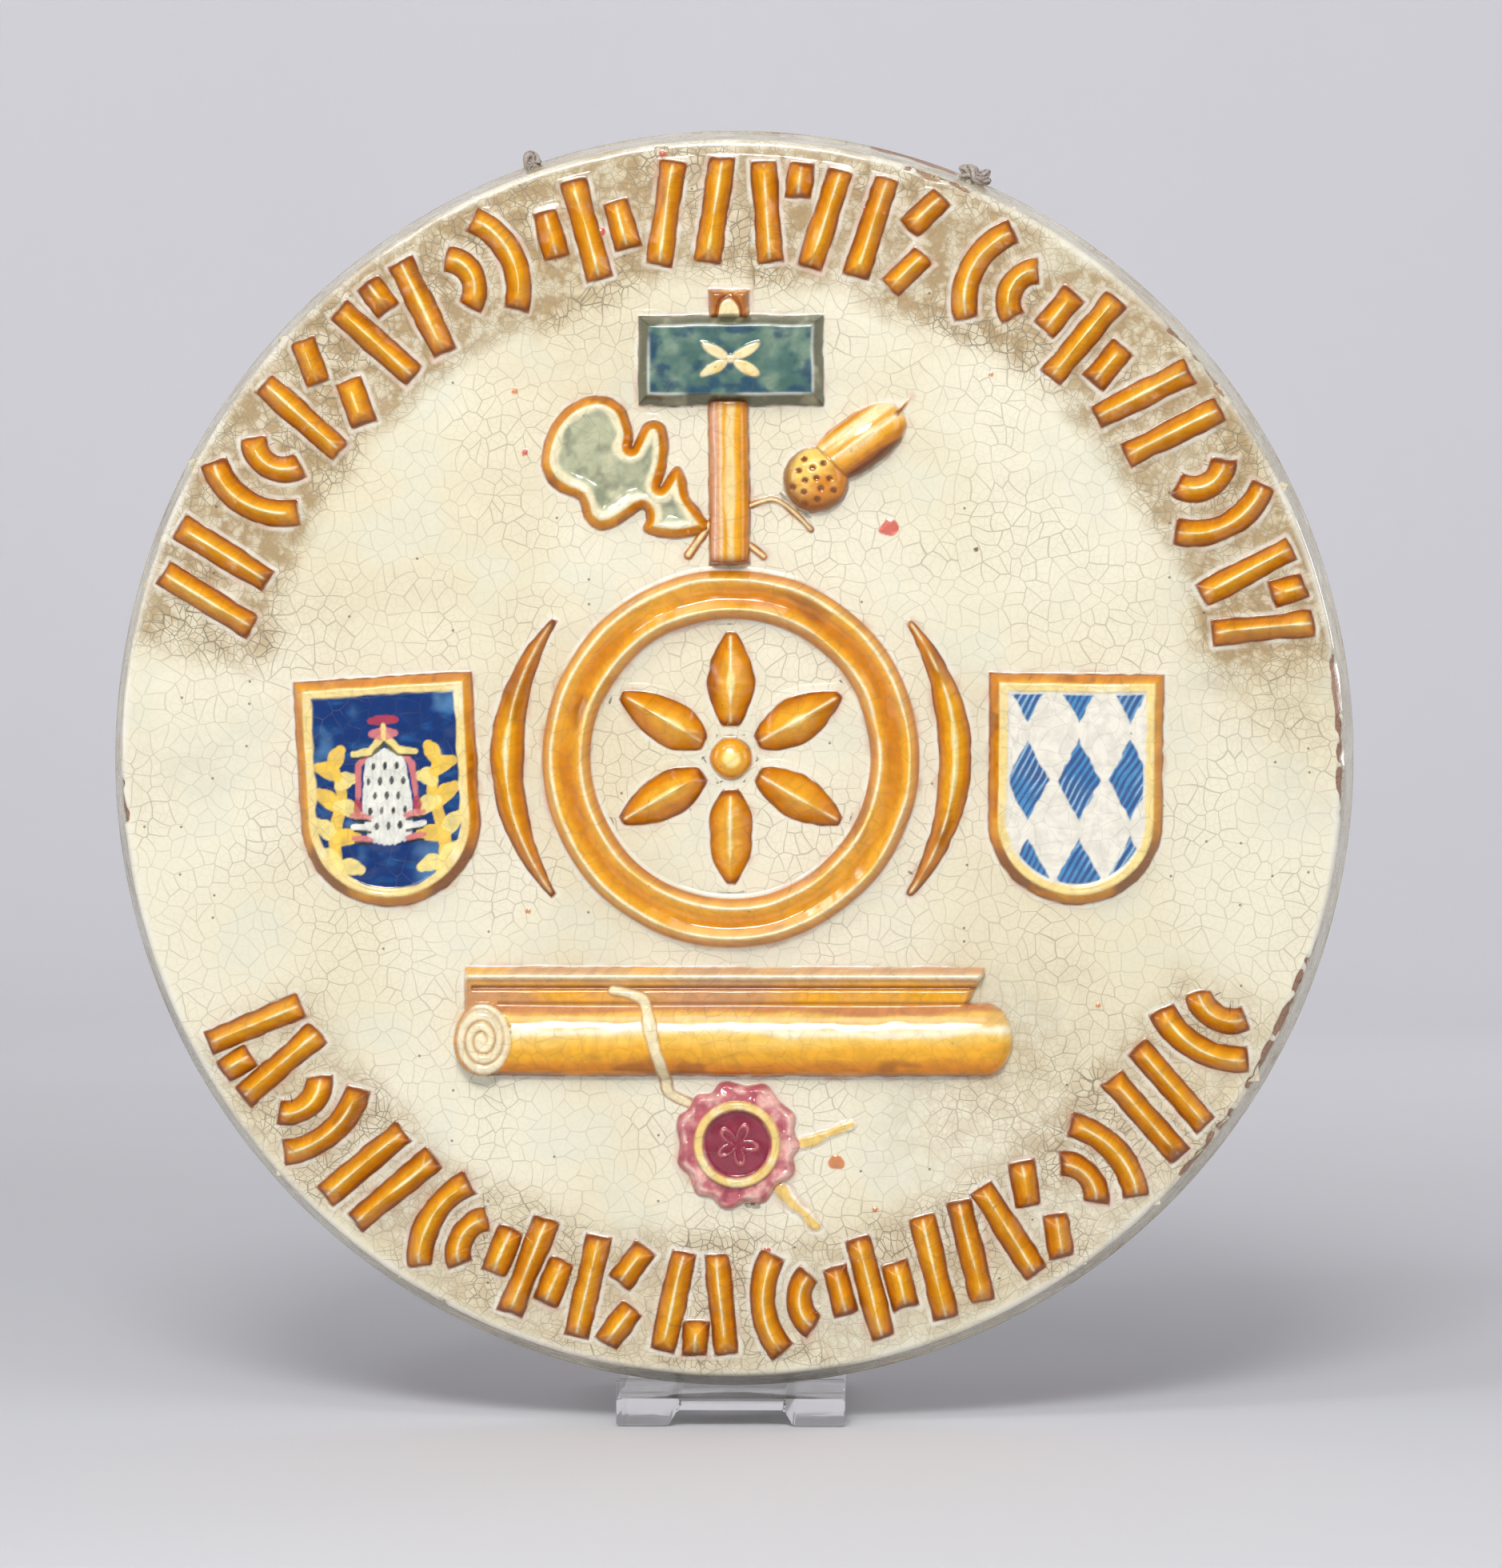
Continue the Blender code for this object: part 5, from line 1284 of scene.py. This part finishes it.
def twisted(name, line, radius, pitch, closed_ends=True):
    """A twine along a line of points: lobed like its plies, which wind round it."""
    points = np.array([tuple(p) for p in line])
    lengths = np.concatenate([[0], np.cumsum(np.linalg.norm(np.diff(points, axis=0), axis=1))])
    count = int(lengths[-1] / (radius * 0.45))
    s = np.linspace(0, lengths[-1], count)
    centre = np.stack([np.interp(s, lengths, points[:, k]) for k in range(3)], axis=-1)
    tangent = np.gradient(centre, axis=0)
    tangent /= np.linalg.norm(tangent, axis=1)[:, None]
    side = np.cross(tangent, np.array([0.0, 1.0, 0.02]))
    side /= np.linalg.norm(side, axis=1)[:, None]
    up = np.cross(side, tangent)
    turn = np.linspace(0, math.tau, 18, endpoint=False)
    angle = turn[None, :] + s[:, None] / pitch * math.tau / PLY_COUNT
    lobe = np.abs(np.cos(angle * PLY_COUNT / 2)) ** 0.7
    reach = radius * (0.74 + 0.26 * lobe) * (1 + 0.03 * np.sin(s[:, None] * 900))
    if closed_ends:
        reach[[0, -1]] *= 0.05
    places = (centre[:, None] + side[:, None] * (reach * np.cos(turn))[..., None]
              + up[:, None] * (reach * np.sin(turn))[..., None])
    blank = np.zeros(places.shape[:2] + (4,))
    mesh = grid_mesh(name, places, blank, blank, wrap=True)
    layer = mesh.attributes.new("ply", "FLOAT", "POINT")
    layer.data.foreach_set("value", lobe.astype(np.float32).ravel())
    return mesh


def small_knot(name, angle, reach, seed):
    """A knot of a few crossing turns of twine on the rim."""
    turn = Matrix.Rotation(angle, 4, "Y")
    base = rim_point(angle, KNOT_FOOT)
    meshes = []
    for k, (tilt, size) in enumerate(((12, 1.0), (-22, 0.86), (40, 0.66))):
        loop = []
        for i in range(41):
            a = math.tau * i / 40
            local = Vector((reach[0] * size * math.cos(a), reach[1] * (0.45 + 0.2 * k) * math.sin(a) * 0.9,
                            reach[2] * 0.35 * math.sin(a + seed) + 0.0004 * math.cos(3 * a)))
            local = Matrix.Rotation(math.radians(tilt), 4, "Y") @ local
            loop.append(base + turn @ (local + Vector((0, 0, reach[2]))))
        meshes.append(twisted(name, loop, min(reach[2] * 0.5, CORD_RADIUS), PLY_PITCH, closed_ends=False))
    return meshes


def loop_bend():
    """The small open loop beside the left hole."""
    turn = Matrix.Rotation(HOLE_LEFT, 4, "Y")
    base = rim_point(HOLE_LEFT, KNOT_FOOT + 0.0005)
    steps = np.linspace(-0.6, math.pi + 0.6, 24)
    local = [(0.0015 * math.cos(a), 0.0006 * math.sin(2 * a), 0.0014 + 0.0024 * math.sin(a)) for a in steps]
    return [base + turn @ Vector(p) for p in local]


def make_cord(look):
    places = [tuple(p) for p in cord_route()]
    route, fine = smooth(places, 4, closed=False), smooth(places, 10, closed=False)
    twine = joined("twine", [twisted("twine", fine, CORD_RADIUS, PLY_PITCH)])
    dress(twine, look, "twine", "cord_tube")
    knot = joined("twine_knot", small_knot("twine_knot", HOLE_RIGHT, RIGHT_KNOT, 0.4))
    dress(knot, look, "twine", "cord_knot_right")
    bend = twisted("twine_loop", loop_bend(), LOOP_RADIUS, PLY_PITCH, closed_ends=False)
    loop = joined("twine_loop", small_knot("twine_loop", HOLE_LEFT, LEFT_KNOT, 1.3) + [bend])
    dress(loop, look, "twine", "cord_loop_left")


# Stage and lights

STAGE_DARK, STAGE_PALE = (0.655, 0.661, 0.694), (0.677, 0.683, 0.716)


def stage_look():
    g = Graph("studio_sweep")
    grain = g.noise(g.place(), 3.0).outputs["Fac"]
    return g.surface({"Base Color": g.mix(grain, STAGE_DARK, STAGE_PALE), "Roughness": 0.75})


STAGE_FLOOR, STAGE_CURVE, STAGE_TOP, STAGE_STEPS, STAGE_DROP = 2.4, 0.9, 3.4, 96, 0.0002


def make_stage():
    """A pale round floor that curves up all round into the backdrop."""
    curve = [(STAGE_FLOOR + STAGE_CURVE * math.sin(a), STAGE_CURVE * (1 - math.cos(a)))
             for a in np.linspace(0, math.pi / 2, 14)]
    line = [(0.0, 0.0), (0.6, 0.0), (1.5, 0.0)] + curve + [(STAGE_FLOOR + STAGE_CURVE, STAGE_TOP)]
    profile = bpy.data.meshes.new("backdrop")
    shape = bmesh.new()
    corners = [shape.verts.new((r, 0.0, z - STAGE_DROP)) for r, z in line]
    edges = [shape.edges.new(pair) for pair in zip(corners, corners[1:])]
    bmesh.ops.spin(shape, geom=corners + edges, cent=(0, 0, 0), axis=(0, 0, 1), angle=math.tau,
                   steps=STAGE_STEPS)
    bmesh.ops.remove_doubles(shape, verts=shape.verts, dist=1e-5)
    for face in shape.faces:
        face.smooth = True
    shape.to_mesh(profile)
    shape.free()
    profile.materials.append(stage_look())
    linked("backdrop", profile)


# Each lamp's name, place, target, width, height, power and colour
LIGHTS = (("front_key", (-0.12, -1.90, 1.35), (0.0, 0.0, 0.2), 0.6, 0.5, 29.5, (1.0, 0.995, 0.985)),
          ("top_softbox", (-0.10, -0.95, 1.40), (0.0, 0.0, 0.20), 1.0, 0.4, 3.6, (1.0, 0.99, 0.98)),
          ("glint", (-0.75, -1.15, 1.35), (0.0, 0.0, 0.2), 0.22, 0.22, 3.0, (1.0, 1.0, 1.0)),
          ("right_fill", (1.7, -0.8, 0.7), (0.0, 0.0, 0.2), 0.7, 1.0, 3.5, (0.98, 0.99, 1.0)),
          ("left_fill", (-1.8, -0.7, 0.7), (0.0, 0.0, 0.2), 0.4, 1.0, 4.0, (0.98, 0.99, 1.0)),
          ("rear_fill", (2.0, 1.5, 0.7), (0.0, 0.0, 0.2), 0.7, 0.7, 11.0, (1.0, 1.0, 1.0)),
          ("backdrop_light", (0.0, 1.2, 2.3), (0.0, 3.3, 1.5), 2.6, 0.4, 34.5, (0.99, 0.94, 0.925)))
WORLD_COLOUR, WORLD_STRENGTH = (0.93, 0.94, 0.96, 1), 0.28


def make_lights():
    view = bpy.context.scene.view_settings
    view.view_transform = "Standard"
    view.look = "None"
    for name, place, target, wide, high, power, colour in LIGHTS:
        data = bpy.data.lights.new(name, "AREA")
        data.shape = "RECTANGLE"
        data.size = wide
        data.size_y = high
        data.energy = power
        data.color = colour
        lamp = linked(name, data)
        lamp.location = place
        aimed(lamp, Vector(target) - Vector(place))
    world = bpy.data.worlds.new("studio")
    world.use_nodes = True
    shade = world.node_tree.nodes["Background"]
    shade.inputs["Color"].default_value = WORLD_COLOUR
    shade.inputs["Strength"].default_value = WORLD_STRENGTH
    bpy.context.scene.world = world


CRADLE_BEVEL = 0.0005


def make_cradle(look):
    """The clear cradle with its edges rounded so that they catch the light."""
    piece = linked("clear_cradle", bpy.data.objects["cradle"].data.copy())
    shape = bmesh.new()
    shape.from_mesh(piece.data)
    bmesh.ops.remove_doubles(shape, verts=shape.verts, dist=1e-5)
    bmesh.ops.dissolve_limit(shape, angle_limit=math.radians(2), verts=shape.verts, edges=shape.edges)
    sharp = [e for e in shape.edges if len(e.link_faces) == 2 and e.calc_face_angle() > math.radians(20)]
    bmesh.ops.bevel(shape, geom=sharp, offset=CRADLE_BEVEL, segments=2, affect="EDGES", clamp_overlap=True)
    shape.to_mesh(piece.data)
    shape.free()
    dress(piece, look, "clear_plastic", "cradle")


UPPER_DARK, LOWER_DARK = 0.07, 0.10
# Each ornament's name and slot, and its patches: middle, half size, step between points, and shape
ORNAMENTS = (
    ("hammer", "slate_glaze", (((0, HAMMER_Z), (32, 17.5), 0.38, head_shape),
                               ((-0.6, 140.2), (9.8, 7.5), 0.35, tip_shape),
                               ((-0.5, 84.9), (9.5, 28.5), 0.38, handle_shape))),
    ("oak_leaf", "leaf_glaze", (((-32.5, 89.7), (30, 26), 0.38, leaf_shape),)),
    ("acorn", "amber_glaze", (((36.5, 94), (25, 24), 0.35, acorn_shape),
                              ((5.5, 71), (24, 13), 0.38, stalk_shape))),
    ("left_shield", "cobalt_glaze", (((-106, -10), (33, 41), 0.36, left_shield),)),
    ("right_shield", "white_glaze", (((106.5, -9.5), (32, 39.5), 0.36, right_shield),)),
    ("scroll", "amber_glaze", (((0, -84.5), (91, 25.5), 0.42, scroll_shape),)),
    ("wax_seal", "crimson_glaze", (((9.5, -123), (32, 25.5), 0.36, seal_shape),)))


def make_plaque():
    body = joined("plaque_body", [disc_mesh()])
    dress(body, glaze("crackled_cream_glaze", 0.15, 0.35, chipped=True), "cream_glaze", "plaque")
    painted_look = glaze("painted_glaze", 0.12, 0.4, chipped=False)
    upper = row_meshes("upper_strokes", UPPER_ROW, UPPER_CELLS, 1, UPPER_DARK)
    dress(joined("upper_strokes", upper), painted_look, "amber_glaze")
    lower = row_meshes("lower_strokes", LOWER_ROW, LOWER_CELLS, -1, LOWER_DARK)
    dress(joined("lower_strokes", lower), painted_look, "amber_glaze")
    dress(joined("emblem", emblem_meshes()), painted_look, "amber_glaze")
    for name, slot, patches in ORNAMENTS:
        dress(joined(name, [field(name, *patch) for patch in patches]), painted_look, slot)
    drops = [drop_mesh(k, *drop) for k, drop in enumerate(DROPS)]
    dress(joined("stray_glaze", drops), painted_look, "crimson_glaze")


def main():
    make_camera()
    make_cord(twine_look())
    make_plaque()
    make_cradle(acrylic())
    make_stage()
    make_lights()
    bpy.context.view_layer.update()


main()
